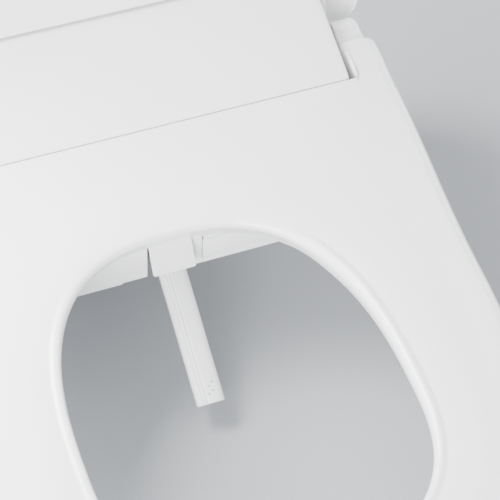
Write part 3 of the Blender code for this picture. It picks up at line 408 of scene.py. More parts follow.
class Graph:
    """The node tree of one material."""

    def __init__(self, name: str) -> None:
        """Makes the material with an empty Principled shader."""
        self.material = bpy.data.materials.new(name)
        self.material.use_nodes = True
        self.tree = self.material.node_tree
        self.shader = self.tree.nodes["Principled BSDF"]

    def node(self, kind: str, settings: dict[str, Any], inputs: dict[Any, Any], output: Any = 0) -> Value:
        """Adds a node.

        Args:
            kind: The node's type.
            settings: Its properties.
            inputs: Values or links, by socket name or number.
            output: The output to return.
        Returns:
            The chosen output, wrapped.
        """
        made = self.tree.nodes.new(kind)
        for key, value in settings.items():
            setattr(made, key, value)
        for key, value in inputs.items():
            self.feed(made.inputs[key], value)
        return Value(self, made.outputs[output])

    def feed(self, socket: Any, value: Any) -> None:
        """Links a wrapped socket to an input, or sets a plain value on it."""
        if isinstance(value, Value):
            self.tree.links.new(value.socket, socket)
        else:
            socket.default_value = value

    def set(self, **values: Any) -> None:
        """Sets or links inputs of the Principled shader; an underscore stands for a space."""
        for key, value in values.items():
            self.feed(self.shader.inputs[key.replace("_", " ")], value)

    def place(self) -> Value:
        """Object coordinates."""
        return self.node("ShaderNodeTexCoord", {}, {}, "Object")

    def noise(self, size: float, detail: float = 3.0, roughness: float = 0.55) -> Value:
        """Smooth noise from 0 to 1 whose features are about size metres across."""
        inputs = {"Vector": self.place(), "Scale": 1.0 / size, "Detail": detail, "Roughness": roughness}
        return self.node("ShaderNodeTexNoise", {}, inputs, "Fac")

    def mix(self, factor: Any, first: Any, second: Any) -> Value:
        """A colour between two colours."""
        inputs = {"Factor": factor, 6: first, 7: second}
        return self.node("ShaderNodeMix", {"data_type": "RGBA"}, inputs, 2)

    def bump(self, height: Value, distance: float) -> Value:
        """A normal from a height field."""
        return self.node("ShaderNodeBump", {}, {"Height": height, "Distance": distance, "Strength": 1.0})


@dataclass(frozen=True)
class Plastic:
    """A moulded plastic or rubber: nearly even colour, faint flow marks and a fine grain."""

    name: str
    colour: tuple[float, float, float]
    roughness: float
    grain: float = 0.0006
    depth: float = 0.000004
    drift: float = 0.02
    coat: float = 0.0
    ior: float = 1.49
    coat_roughness: float = 0.08

    def make(self) -> bpy.types.Material:
        """Builds the material."""
        g = Graph(self.name)
        broad = g.noise(0.12)
        fine = g.noise(self.grain, 2.0)
        dark = tuple(max(c * (1 - self.drift), 0.0) for c in self.colour) + (1.0,)
        light = tuple(min(c * (1 + self.drift * 0.5), 1.0) for c in self.colour) + (1.0,)
        rough = self.roughness + (broad - 0.5) * 0.06 + (fine - 0.5) * 0.05
        g.set(
            Base_Color=g.mix(broad, dark, light),
            Roughness=rough,
            Normal=g.bump(fine, self.depth),
            IOR=self.ior,
            Coat_Weight=self.coat,
            Coat_Roughness=self.coat_roughness,
        )
        return g.material


@dataclass(frozen=True)
class Metal:
    """A bare or plated metal with fine brushing along X and slight staining."""

    name: str
    colour: tuple[float, float, float]
    roughness: float
    stretch: float = 40.0
    fineness: float = 4000.0

    def make(self) -> bpy.types.Material:
        """Builds the material."""
        g = Graph(self.name)
        scale = (self.stretch, self.fineness, self.fineness)
        along = g.node("ShaderNodeMapping", {}, {"Vector": g.place(), "Scale": scale})
        lines = g.node("ShaderNodeTexNoise", {}, {"Vector": along, "Scale": 1.0, "Detail": 2.0}, "Fac")
        stain = g.noise(0.02)
        dark = tuple(c * 0.82 for c in self.colour) + (1.0,)
        g.set(
            Base_Color=g.mix(stain, dark, self.colour + (1.0,)),
            Metallic=1.0,
            Roughness=self.roughness + (lines - 0.5) * 0.2,
            Normal=g.bump(lines, 0.000004),
        )
        return g.material


@dataclass(frozen=True)
class Foil:
    """A printed heater foil: dark tracks in even rows on a film."""

    name: str
    film: tuple[float, float, float]
    track: tuple[float, float, float]
    pitch: float = 0.012

    def make(self) -> bpy.types.Material:
        """Builds the material."""
        g = Graph(self.name)
        wave = g.node(
            "ShaderNodeTexWave",
            {"wave_type": "BANDS", "bands_direction": "Y", "wave_profile": "SIN"},
            {"Vector": g.place(), "Scale": 0.32 / self.pitch, "Distortion": 1.5, "Detail": 0.0},
            "Fac",
        )
        mask = g.node("ShaderNodeMath", {"operation": "GREATER_THAN"}, {0: wave, 1: 0.62})
        g.set(
            Base_Color=g.mix(mask, self.film + (1.0,), self.track + (1.0,)),
            Roughness=0.35 + mask * 0.15,
            Metallic=mask * 0.8,
            Normal=g.bump(mask, 0.00005),
        )
        return g.material


@dataclass(frozen=True)
class Board:
    """A circuit board: solder mask over a faint web of tracks."""

    name: str
    mask: tuple[float, float, float]
    track: tuple[float, float, float]

    def make(self) -> bpy.types.Material:
        """Builds the material."""
        g = Graph(self.name)
        cells = g.node(
            "ShaderNodeTexVoronoi",
            {"feature": "DISTANCE_TO_EDGE", "distance": "EUCLIDEAN"},
            {"Vector": g.place(), "Scale": 260.0, "Randomness": 0.25},
            "Distance",
        )
        web = g.node("ShaderNodeMath", {"operation": "LESS_THAN"}, {0: cells, 1: 0.09})
        g.set(
            Base_Color=g.mix(web, self.mask + (1.0,), self.track + (1.0,)),
            Roughness=0.4 - web * 0.12,
            Normal=g.bump(web, 0.00003),
        )
        return g.material


class Look(Enum):
    """The finishes, each with the record's slot that it stands for."""

    GLOSS = (
        "gloss_white",
        Plastic("shell_white", (0.88, 0.88, 0.88), 0.27, depth=0.0000015, drift=0.006, coat=0.25),
    )
    SATIN = (
        "satin_white",
        Plastic("satin_white_plastic", (0.86, 0.86, 0.86), 0.36, depth=0.000003, drift=0.008),
    )
    NOZZLE = (
        "satin_white",
        Plastic("nozzle_white", (0.88, 0.88, 0.88), 0.24, depth=0.0000015, drift=0.006, coat=0.3),
    )
    GREY = ("moulded_grey", Plastic("moulded_grey_plastic", (0.30, 0.31, 0.32), 0.52, 0.0009, 0.00002, 0.05))
    DARK = ("dark_rubber", Plastic("dark_rubber_grain", (0.03, 0.03, 0.03), 0.72, 0.0005, 0.00002, 0.2))
    PALE = ("pale_rubber", Plastic("pale_rubber_grain", (0.60, 0.60, 0.58), 0.62, 0.0007, 0.00002, 0.06))
    CARBON = ("filter_carbon", Plastic("carbon_block", (0.03, 0.03, 0.032), 0.9, 0.0022, 0.0004, 0.4))
    STEEL = ("stainless_steel", Metal("brushed_stainless", (0.62, 0.63, 0.65), 0.30))
    BRASS = ("plated_brass", Metal("plated_brass_turned", (0.72, 0.66, 0.50), 0.26, 400.0))
    FOIL = ("heater_foil", Foil("printed_foil", (0.52, 0.36, 0.18), (0.20, 0.13, 0.08)))
    BOARD = ("circuit_green", Board("board_green", (0.02, 0.16, 0.06), (0.06, 0.30, 0.13)))


class Dresser:
    """Makes each finish once and gives it to pieces and CAD nodes."""

    def __init__(self, frame: dict[str, Any]) -> None:
        """Keeps the loaded frame."""
        self.frame = frame
        self.made: dict[str, bpy.types.Material] = {}

    def material(self, look: Look) -> bpy.types.Material:
        """The finish's material, made on first use."""
        if look.name not in self.made:
            self.made[look.name] = look.value[1].make()
        return self.made[look.name]

    def piece(
        self,
        skin: Skin,
        name: str,
        look: Look,
        body: str,
        place: Place,
        stands_for: Sequence[str],
        smooth: float = 40.0,
    ) -> bpy.types.Object:
        """Finishes one new piece.

        Args:
            skin: Its surface.
            name: Its name.
            look: Its finish.
            body: The CAD body that it moves with.
            place: The frame that it was drawn in.
            stands_for: The CAD nodes that it replaces.
            smooth: The largest angle that is shaded smooth, in degrees.
        Returns:
            The piece's object.
        """
        obj = skin.mesh(name, place, smooth)
        obj.data.materials.append(self.material(look))
        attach(obj, body)
        if stands_for:
            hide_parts(*stands_for)
        LOG.info("%s: %d faces on %s", name, len(obj.data.polygons), body)
        return obj

    def keep(self, look: Look, *nodes: str) -> None:
        """Gives CAD nodes that stay a finish of their own."""
        for node in nodes:
            obj = self.frame["nodes"][node]
            obj.data.materials.clear()
            obj.data.materials.append(self.material(look))
            LOG.info("%s keeps its CAD shape", node)


NOZZLE_HALF_Z = 0.0070
ROOM_SIDE, ROOM_ABOVE = 0.0015, 0.0012


def nozzle_room() -> tuple[float, float]:
    """The span in X that the nozzle and its rack need as they slide in, with a margin at each side."""
    boxes = [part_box(node) for node in ("nozzle_body", "nozzle_tip", "nozzle_rack")]
    return min(box[0][0] for box in boxes) - ROOM_SIDE, max(box[1][0] for box in boxes) + ROOM_SIDE


def room_top(y: Array) -> Array:
    """Height in the deck frame, over a place y, that clears the sliding nozzle's upper side."""
    turn = NOZZLE_TURN - DECK_TILT
    back, rise = NOZZLE_ROOT[0] - HINGE[1], NOZZLE_ROOT[1] - HINGE[2]
    root_y = back * math.cos(DECK_TILT) + rise * math.sin(DECK_TILT)
    root_z = rise * math.cos(DECK_TILT) - back * math.sin(DECK_TILT)
    return root_z + (y - root_y) * math.tan(turn) + NOZZLE_HALF_Z / math.cos(turn) + ROOM_ABOVE


# ---- shapes that many pieces share
def rounded_block(low: Sequence[float], high: Sequence[float], corner: float, edge: float) -> Skin:
    """A block with rounded corners round Y and a smaller rounding along both its end faces.

    The section is a rectangle with quarter circles; along Y it draws in by edge (1 - cos a) as it ends.
    """
    least = 0.00005
    half = np.array([(high[i] - low[i]) / 2 for i in (0, 2)])
    middle = np.array([(high[i] + low[i]) / 2 for i in (0, 2)])
    corner = min(corner, float(half.min()) * 0.98)
    a = np.radians(np.concatenate([np.linspace(0, 90, 7) + 90 * k for k in range(4)]))
    unit = np.stack([np.cos(a), np.sin(a)], -1)
    centre = np.repeat(np.array([[1, 1], [-1, 1], [-1, -1], [1, -1]]), 7, axis=0)
    rows = []
    for y, inset in rounded_ends(low[1], high[1], (edge, edge), 5):
        section = centre * (half - max(corner, inset)) + unit * max(corner - inset, least) + middle
        rows.append(np.stack([section[:, 0], np.full(len(section), y), section[:, 1]], -1))
    return Skin().tube(np.array(rows))


def turned(profile: Array, centre: Sequence[float], axis: int, count: int = 56) -> Skin:
    """A surface of revolution: each (place, radius) of the profile is a ring about the axis."""
    a = np.linspace(0, 2 * math.pi, count, endpoint=False)
    others = [i for i in range(3) if i != axis]
    rows = np.empty((len(profile), count, 3))
    rows[..., axis] = profile[:, 0][:, None] + centre[axis]
    rows[..., others[0]] = profile[:, 1][:, None] * np.cos(a) + centre[others[0]]
    rows[..., others[1]] = profile[:, 1][:, None] * np.sin(a) + centre[others[1]]
    return Skin().tube(rows)


def sheet_across(profile: Array, ends: Sequence[tuple[float, float]]) -> Skin:
    """A closed (y, z) profile carried along X, drawn in by the inset that goes with each place."""
    rows = []
    for x, inset in ends:
        section = drawn_in(profile, inset)
        rows.append(np.stack([np.full(len(section), x), section[:, 0], section[:, 1]], -1))
    return Skin().tube(np.array(rows))


def drawn_in(profile: Array, inset: float) -> Array:
    """A closed profile moved inwards along its normals."""
    normal = outward(profile)
    area = np.sum(profile[:, 0] * np.roll(profile[:, 1], -1) - np.roll(profile[:, 0], -1) * profile[:, 1])
    return profile - normal * inset * (-1.0 if area > 0 else 1.0)


@dataclass(frozen=True)
class Pad:
    """A tapered rubber pad: a short collar at its base, a rounded tip and, for a foot, a dished sole."""

    neck: float
    collar: float
    step: float
    radius: float
    edge: float
    sole: tuple[tuple[float, float], ...] = ()

    def skin(self, x: float, y: float, base: float, tip: float) -> Skin:
        """The pad at a place, from its base down to its tip."""
        profile = [(base, self.neck), (base - self.step, self.collar)]
        profile += [(tip + left, self.radius - inset) for left, inset in quarter(self.edge, 6)]
        profile += [(tip + rise, radius) for rise, radius in self.sole]
        return turned(np.array(profile), (x, y, 0.0), 2, 40)


# ---- seat
@dataclass
class Seat:
    """The seat ring with its arms, barrels and underside."""

    top: float = 0.0134
    depth: float = 0.024
    wall: float = 0.003
    edge: float = 0.0085
    skirt: float = 0.014
    arm_end: float = -0.015
    opening: tuple[float, float, float, float, float] = (0.1110, -0.2980, 0.1590, 0.1070, 2.55)
    relief: float = 0.05246
    relief_half: float = 0.1732
    rear_edge: float = 0.0011
    arm_edge: float = 0.0032
    hinge_less: float = 0.0040
    band_inset: float = 0.012
    dish: float = 0.0005
    feet: tuple[tuple[str, float, float], ...] = (("rear", 0.150, 0.150), ("front", 0.385, 0.096))
    barrel: float = 0.012
    barrel_ends: tuple[float, float] = (0.1750, 0.1955)
    barrel_edges: tuple[float, float] = (0.001, 0.0045)
    barrel_face: float = 0.98

    def plan(self) -> Plan:
        """The seat's outline."""
        return Plan(0.1735, -0.0508, self.arm_end, 0.007)

    def bottom(self, outline: Array, hangs: Array) -> Array:
        """Height of the lower edge: level with the bowl where the skirt hangs, else the ring's thickness."""
        level = (self.skirt - HINGE[2] - outline[:, 1] * math.sin(DECK_TILT)) / math.cos(DECK_TILT)
        return np.where(hangs, level, self.top - self.depth)

    def lips(self) -> tuple[Array, Array]:
        """The lip's section at the sides and at the middle of the rear, from outside in.

        Returns:
            Two arrays of (distance from the opening, drop below the top) in metres. The sides have a crease;
            the rear has none, and its wall leans back below a short drop.
        """
        sections = np.array(
            [
                (34.0, 0.0, 34.0, 0.0), (28.0, 0.10, 28.0, 0.10), (23.0, 0.32, 23.0, 0.28),
                (18.5, 0.70, 18.5, 0.55), (14.5, 1.20, 14.5, 0.90), (11.5, 1.70, 11.5, 1.20),
                (9.6, 2.05, 9.6, 1.40), (8.4, 2.22, 8.4, 1.54), (7.5, 2.20, 7.5, 1.66),
                (6.6, 1.98, 6.6, 1.80), (5.6, 1.72, 5.6, 1.98), (4.6, 1.62, 4.6, 2.20),
                (3.6, 1.76, 3.6, 2.48), (2.6, 2.15, 2.6, 2.86), (1.7, 2.80, 1.7, 3.36),
                (0.95, 3.70, 0.95, 4.05), (0.4, 4.90, 0.4, 5.00), (0.1, 6.30, 0.1, 6.30),
                (0.0, 8.0, 0.0, 7.6), (0.3, 11.0, 0.5, 9.4), (1.0, 14.5, 1.8, 12.4),
                (2.2, 18.5, 3.6, 16.4), (3.4, 22.0, 5.2, 19.8), (4.0, 23.3, 6.0, 21.6),
                (4.7, 23.9, 6.5, 23.0), (5.6, 24.0, 6.8, 23.8), (6.9, 24.0, 6.9, 24.0),
            ]
        )
        return sections[:, :2] / 1000.0, sections[:, 2:] / 1000.0

    def edge_radius(self, outline: Array, order: Array, plan: Plan) -> Array:
        """Radius of the top's outer edge: fine along the cover, more beside it, full on the sides."""
        arm, side = plan.splits()[:2]
        corner = side - plan.counts[5]
        soft = ease((order - (corner - 4)) / 6.0)
        near = ease((outline[:, 1] - plan.seam + 0.010) / 0.030)
        radius = self.rear_edge + (self.edge - self.rear_edge - self.hinge_less * near) * soft
        arms = ease((order - (arm - 5)) / 4.0) * (1 - ease((order - (corner - 6)) / 6.0))
        return np.maximum(radius, self.arm_edge * arms)

    def low_edge(self, outline: Array, order: Array, plan: Plan) -> Array:
        """Height of the lower edge, raised over the nozzle where it slides in under the rear."""
        arm, side = plan.splits()[:2]
        low = self.bottom(outline, order >= side - plan.counts[5] + 2)
        left, right = nozzle_room()
        slope = 0.0050
        over = (order < arm) & (outline[:, 0] > left - slope) & (outline[:, 0] < right + slope)
        return np.where(over, np.maximum(low, room_top(outline[:, 1])), low)

    def lip_rows(self, hole: Array, out: Array) -> list[Array]:
        """The lip's rings, which turn from its own section to the rear's by a smooth step along Y."""
        centre, rear = self.opening[1:3]
        share = ease((hole[:, 1] - (centre + 0.62 * rear)) / (0.30 * rear))[:, None]
        rows = []
        for plain, at_rear in zip(*self.lips()):
            section = plain + (at_rear - plain) * share
            rows.append(at_height(hole + out * section[:, :1], self.top - section[:, 1]))
        return rows

    def ring(self) -> Skin:
        """The ring as a torus of outlines: up the outer wall, over the band and lip, down and back inside."""
        plan = self.plan()
        outline, normal, order = plan.ring()
        low = self.low_edge(outline, order, plan)
        radius = self.edge_radius(outline, order, plan)
        rows = [at_height(outline, low), at_height(outline, low + 0.6 * (self.top - radius - low))]
        for left, inset in quarter(radius, 9):
            rows.append(at_height(outline - normal * inset[:, None], self.top - left))
        flat = outline - normal * radius[:, None]
        middle = both_sides(plan.inner_half(self.band_inset))
        hole = both_sides(opening_half(plan, *self.opening))
        out = outward(hole)
        start = hole + out * self.lips()[0][0, 0]
        for share in (0.33, 0.66, 1.0):
            rows.append(at_height(flat + (middle - flat) * share, self.top))
        for share in (0.2, 0.4, 0.6, 0.8):
            height = self.top - self.dish * math.sin(math.pi * share)
            rows.append(at_height(middle + (start - middle) * share, height))
        rows += self.lip_rows(hole, out)
        roof = self.top - self.wall
        for distance, height in ((0.0071, self.top - 0.020), (0.0075, roof - 0.004), (0.012, roof - 0.002)):
            rows.append(at_height(hole + out * distance, height))
        rows.append(at_height(middle, roof))
        inner = outline - normal * self.wall
        rows += [at_height(inner, roof - 0.003), at_height(inner, low)]
        grid = np.array(rows)
        near_axis = np.abs(grid[..., 0]) < self.relief_half
        near_axis &= np.hypot(grid[..., 1], grid[..., 2]) < self.relief
        clear = -np.sqrt(np.maximum(self.relief**2 - grid[..., 2] ** 2, 0.0))
        grid[..., 1] = np.where(near_axis, np.minimum(grid[..., 1], clear), grid[..., 1])
        return Skin().tube(grid, wrap=True)

    def hinge_barrel(self, sign: int) -> Skin:
        """A hinge barrel with a web to its arm: a round section whose outer end is well rounded."""
        a = np.linspace(0, 2 * math.pi, 72, endpoint=False)
        y, z = self.barrel * np.cos(a), self.barrel * np.sin(a)
        webbed = np.abs(a - math.pi) < self.barrel_face
        y = np.where(webbed, self.arm_end + 0.0004, y)
        z = np.where(webbed, np.clip(z, -0.0100, 0.0100), z)
        section = np.stack([y, z], -1)
        faces_arm = (np.clip(-np.cos(a), 0, 1) > 0.55)[:, None]
        rows = []
        for x, inset in rounded_ends(*self.barrel_ends, self.barrel_edges, 7):
            scale = 1 - inset / self.barrel
            fixed = np.where(faces_arm, section, section * scale)
            fixed[:, 1] = section[:, 1] * scale
            rows.append(np.stack([np.full(len(a), sign * x), fixed[:, 0], fixed[:, 1]], -1))
        return Skin().tube(np.array(rows))

    def build(self, dresser: Dresser) -> None:
        """Makes the seat's pieces."""
        dresser.piece(self.ring(), "seat_ring_top", Look.GLOSS, "seat", DECK, ["seat_upper"], 42.0)
        for side, sign in (("left", -1), ("right", 1)):
            skin, node = self.hinge_barrel(sign), f"seat_hinge_barrel_{side}"
            dresser.piece(skin, f"seat_barrel_{side}", Look.GLOSS, "seat", DECK, [node])
        dresser.keep(Look.SATIN, "seat_lower")
        dresser.keep(Look.FOIL, "seat_heater_mat")
        dresser.keep(Look.STEEL, "seat_shaft")
        self.bumpers(dresser)

    def bumpers(self, dresser: Dresser) -> None:
        """The four feet: a tapered pad with a rounded sole just above the bowl."""
        pad = Pad(0.0098, 0.0100, 0.0015, 0.0086, 0.002, ((0.0004, 0.0045),))
        for side, sign in (("right", 1), ("left", -1)):
            for end, back, x in self.feet:
                y = Plan.seam - back
                sole = -(HINGE[2] + y * math.sin(DECK_TILT)) / math.cos(DECK_TILT) + 0.0012
                skin = pad.skin(sign * x, y, self.top - self.depth - 0.0003, sole)
                name = f"seat_bumper_{end}_{side}"
                dresser.piece(skin, f"{name}_pad", Look.PALE, "seat", DECK, [name])


# ---- lid
@dataclass
class Lid:
    """The lid, drawn shut: outer shell, liner, ear plates and pads."""

    top: float = 0.0354
    rim: float = 0.0040
    ceiling: float = 0.0214
    wall: float = 0.0025
    edge: float = 0.010
    lift_y: float = -0.036
    lift_z: float = 0.0144
    lift_radius: float = 0.0104
    rear_edge: float = 0.0030
    rim_round: float = 0.0009
    ear_ends: tuple[float, float] = (0.1692, 0.1725)
    ear_edge: float = 0.0011
    inner_inset: float = 0.014
    pads: tuple[tuple[str, float, float], ...] = (("rear", 0.110, 0.155), ("front", 0.385, 0.095))

    def plan(self) -> Plan:
        """The lid's outline."""
        return Plan(0.1692, -0.052, 0.002, 0.026, margin=0.0035)

    def rim_height(self, outline: Array, order: Array, plan: Plan) -> Array:
        """Height of the lower edge: flat, lifted in a quarter round at the arms, high along the rear."""
        side = plan.splits()[1]
        centre = self.lift_y + self.lift_radius
        span = np.clip((centre - outline[:, 1]) / self.lift_radius, 0.0, 1.0)
        lifted = self.lift_z - self.lift_radius + self.lift_radius * np.sqrt(1 - span**2)
        lifted = np.where(outline[:, 1] < self.lift_y, self.rim, np.maximum(lifted, self.rim))
        lifted = np.where(outline[:, 1] > centre, self.lift_z, lifted)
        return np.where(order < side - plan.counts[5] - plan.counts[4], self.ceiling + 0.0004, lifted)

    def shell(self) -> Skin:
        """The shell, from its ceiling down the inner wall, round the rim and up the outer wall to the top."""
        plan = self.plan()
        outline, normal, order = plan.ring()
        low = self.rim_height(outline, order, plan)
        soft = ease((order - (plan.splits()[1] - plan.counts[5] - 6)) / 8.0)
        radius = self.rear_edge + (self.edge - self.rear_edge) * soft
        lip, deep = self.rim_round, self.ceiling + 0.0006
        middle = both_sides(plan.inner_half(self.inner_inset))
        spine = np.array([0.0, -0.25])
        rows = [at_height(middle + (spine - middle) * share, deep) for share in (0.8, 0.3, 0.0)]
        for inset, height in (
            (self.wall + 0.004, deep),
            (self.wall + 0.0012, np.maximum(low, deep - 0.0012)),
            (self.wall, np.maximum(low, deep - 0.004)),
            (self.wall, np.minimum(low + 0.004, deep)),
            (2 * lip, low + lip),
        ):
            rows.append(at_height(outline - normal * inset, height))
        for angle in np.radians(np.linspace(180, 0, 7))[1:]:
            inset = lip * (1 - math.cos(angle))
            rows.append(at_height(outline - normal * inset, low + lip - lip * math.sin(angle)))
        rows.append(at_height(outline, low + 0.5 * (self.top - radius - low)))
        for left, inset in quarter(radius, 10):
            rows.append(at_height(outline - normal * inset[:, None], self.top - left))
        flat = outline - normal * radius[:, None]
        for share in (0.4, 1.0):
            rows.append(at_height(flat + (middle - flat) * share, self.top))
        for share in (0.15, 0.35, 0.6, 0.85):
            rows.append(at_height(middle + (spine - middle) * share, self.top - 0.0002))
        return Skin().tube(np.array(rows))

    def liner(self) -> Skin:
        """The inner panel: a flat plate up to the inner wall, with a fine rounded edge."""
        outline = both_sides(self.plan().inner_half(0.0040))
        normal = outward(outline)
        rear, rear_band = -0.0524, -0.0565
        outline[:, 1] = np.where(outline[:, 1] > rear_band, rear, outline[:, 1])
        low, high = self.ceiling - 0.0006, self.ceiling + 0.0003
        rows = [at_height(outline + (outline.mean(axis=0) - outline) * 0.03, low)]
        for left, inset in quarter(0.0005, 4)[::-1]:
            rows.append(at_height(outline - normal * inset, low + left))
        rows.append(at_height(outline, high))
        return Skin().tube(np.array(rows))

    def ear(self, sign: int) -> Skin:
        """An ear plate: down from the ceiling, along the rim, round the hub and up, with softened edges."""
        hub_radius, rise = 0.012, self.ceiling + 0.004
        front, rear, corner = -0.0488, 0.0015, 0.003
        meet = math.degrees(math.asin(0.0092 / hub_radius))
        hub = arc((0.0, 0.0), hub_radius, meet - 180, 80, 40)
        profile = np.concatenate(
            [
                line((front, rise), (front, self.rim + corner), 16),
                arc((front + corner, self.rim + corner), corner, 180, 270, 6),
                line((-0.0450, self.rim), (hub[0, 0], self.rim), 14)[1:],
                hub,
                line((rear, 0.0135), (rear, rise), 6),
                line((rear, rise), (front, rise), 16),
            ]
        )
        ends = rounded_ends(*self.ear_ends, (self.ear_edge, self.ear_edge), 5)
        return sheet_across(profile, [(sign * x, inset) for x, inset in ends])

    def build(self, dresser: Dresser) -> None:
        """Makes the lid's pieces."""
        dresser.piece(self.shell(), "lid_outer_shell", Look.GLOSS, "lid", LID, ["lid_shell"], 42.0)
        dresser.piece(self.liner(), "lid_inner_panel", Look.SATIN, "lid", LID, ["lid_liner"], 42.0)
        pad = Pad(0.0074, 0.0075, 0.001, 0.0062, 0.0014)
        tip = Seat.top + 0.0008
        for side, sign in (("left", -1), ("right", 1)):
            dresser.piece(self.ear(sign), f"lid_ear_{side}", Look.GLOSS, "lid", LID, [])
            for end, back, x in self.pads:
                skin = pad.skin(sign * x, Plan.seam - back, self.ceiling - 0.0007, tip)
                name = f"lid_bumper_{end}_{side}"
                dresser.piece(skin, f"{name}_pad", Look.PALE, "lid", LID, [name])
        dresser.keep(Look.STEEL, "lid_shaft")


# ---- housing
@dataclass
class Housing:
    """The top cover, and the deck, casing and front wall that keep their CAD shapes."""

    half: float = 0.168
    seam: float = -0.050
    top: float = 0.0134
    slope: float = 0.36
    crest: float = 0.030
    rear: float = 0.056
    foot: float = -0.0136
    end_edges: tuple[float, float] = (0.0024, 0.0052)
    room_end: float = 0.012

    def cover_profile(self) -> Array:
        """The cover's side outline: front wall, rising strip, rounded crest, rear wall, bottom."""
        crest_z = self.top + self.slope * (self.crest - self.seam)
        return np.concatenate(
            [
                line((self.seam, self.foot), (self.seam, self.top - 0.0016), 10),
                arc((self.seam + 0.0020, self.top - 0.0014), 0.0020, 180, 110, 7),
                line((self.seam + 0.0021, self.top + 0.0008), (self.crest - 0.004, crest_z - 0.0016), 40)[1:],
                arc((self.crest + 0.0030, crest_z - 0.0165), 0.0165, 110, 25, 14),
                arc((self.rear - 0.012, 0.014), 0.012, 22, 0, 6),
                line((self.rear, 0.010), (self.rear, self.foot), 10),
                line((self.rear, self.foot), (self.seam, self.foot), 24),
            ]
        )

    def cover(self) -> Skin:
        """The cover: its outline carried across, with a rounding at its ends that grows to the crest."""
        profile = self.cover_profile()
        share = ease((profile[:, 0] - self.seam) / 0.060)
        share = np.where(profile[:, 1] <= self.foot + 0.001, 0.25, share)
        radius = self.end_edges[0] + (self.end_edges[1] - self.end_edges[0]) * share
        normal = outward(profile)
        right = []
        for left, inset in quarter(radius, 10)[::-1]:
            section = profile - normal * inset[:, None]
            section[:, 1] = np.maximum(section[:, 1], self.foot)
            right.append(np.stack([self.half - left, section[:, 0], section[:, 1]], -1))
        mirrored = np.array(right) * np.array([-1.0, 1.0, 1.0])
        rows = [*mirrored, *self.room_rings(mirrored[-1]), *right[::-1]]
        return Skin().tube(np.array(rows)[::-1])

    def room_rings(self, plain: Array) -> list[Array]:
        """Rings at both sides of the nozzle's room, between which the underside is raised over the nozzle."""
        left, right = nozzle_room()
        ceiling = room_top(plain[:, 1])
        inside = (plain[:, 1] < self.room_end) & (plain[:, 2] < ceiling) & (plain[:, 2] < 0.0)
        roomy = plain.copy()
        roomy[:, 2] = np.where(inside, ceiling, plain[:, 2])
        rings = []
        for x, ring in ((left - 0.0001, plain), (left, roomy), (right, roomy), (right + 0.0001, plain)):
            rings.append(np.stack([np.full(len(ring), x), ring[:, 1], ring[:, 2]], -1))
        return rings

    def build(self, dresser: Dresser) -> None:
        """Makes the housing's pieces."""
        dresser.piece(self.cover(), "cover_top", Look.GLOSS, "housing", DECK, ["top_cover"], 42.0)
        dresser.keep(Look.SATIN, "deck_cover")
        dresser.keep(Look.GLOSS, "base_casing", "nozzle_fascia")
        dresser.keep(Look.GREY, "mounting_plate", "lid_damper", "seat_damper")


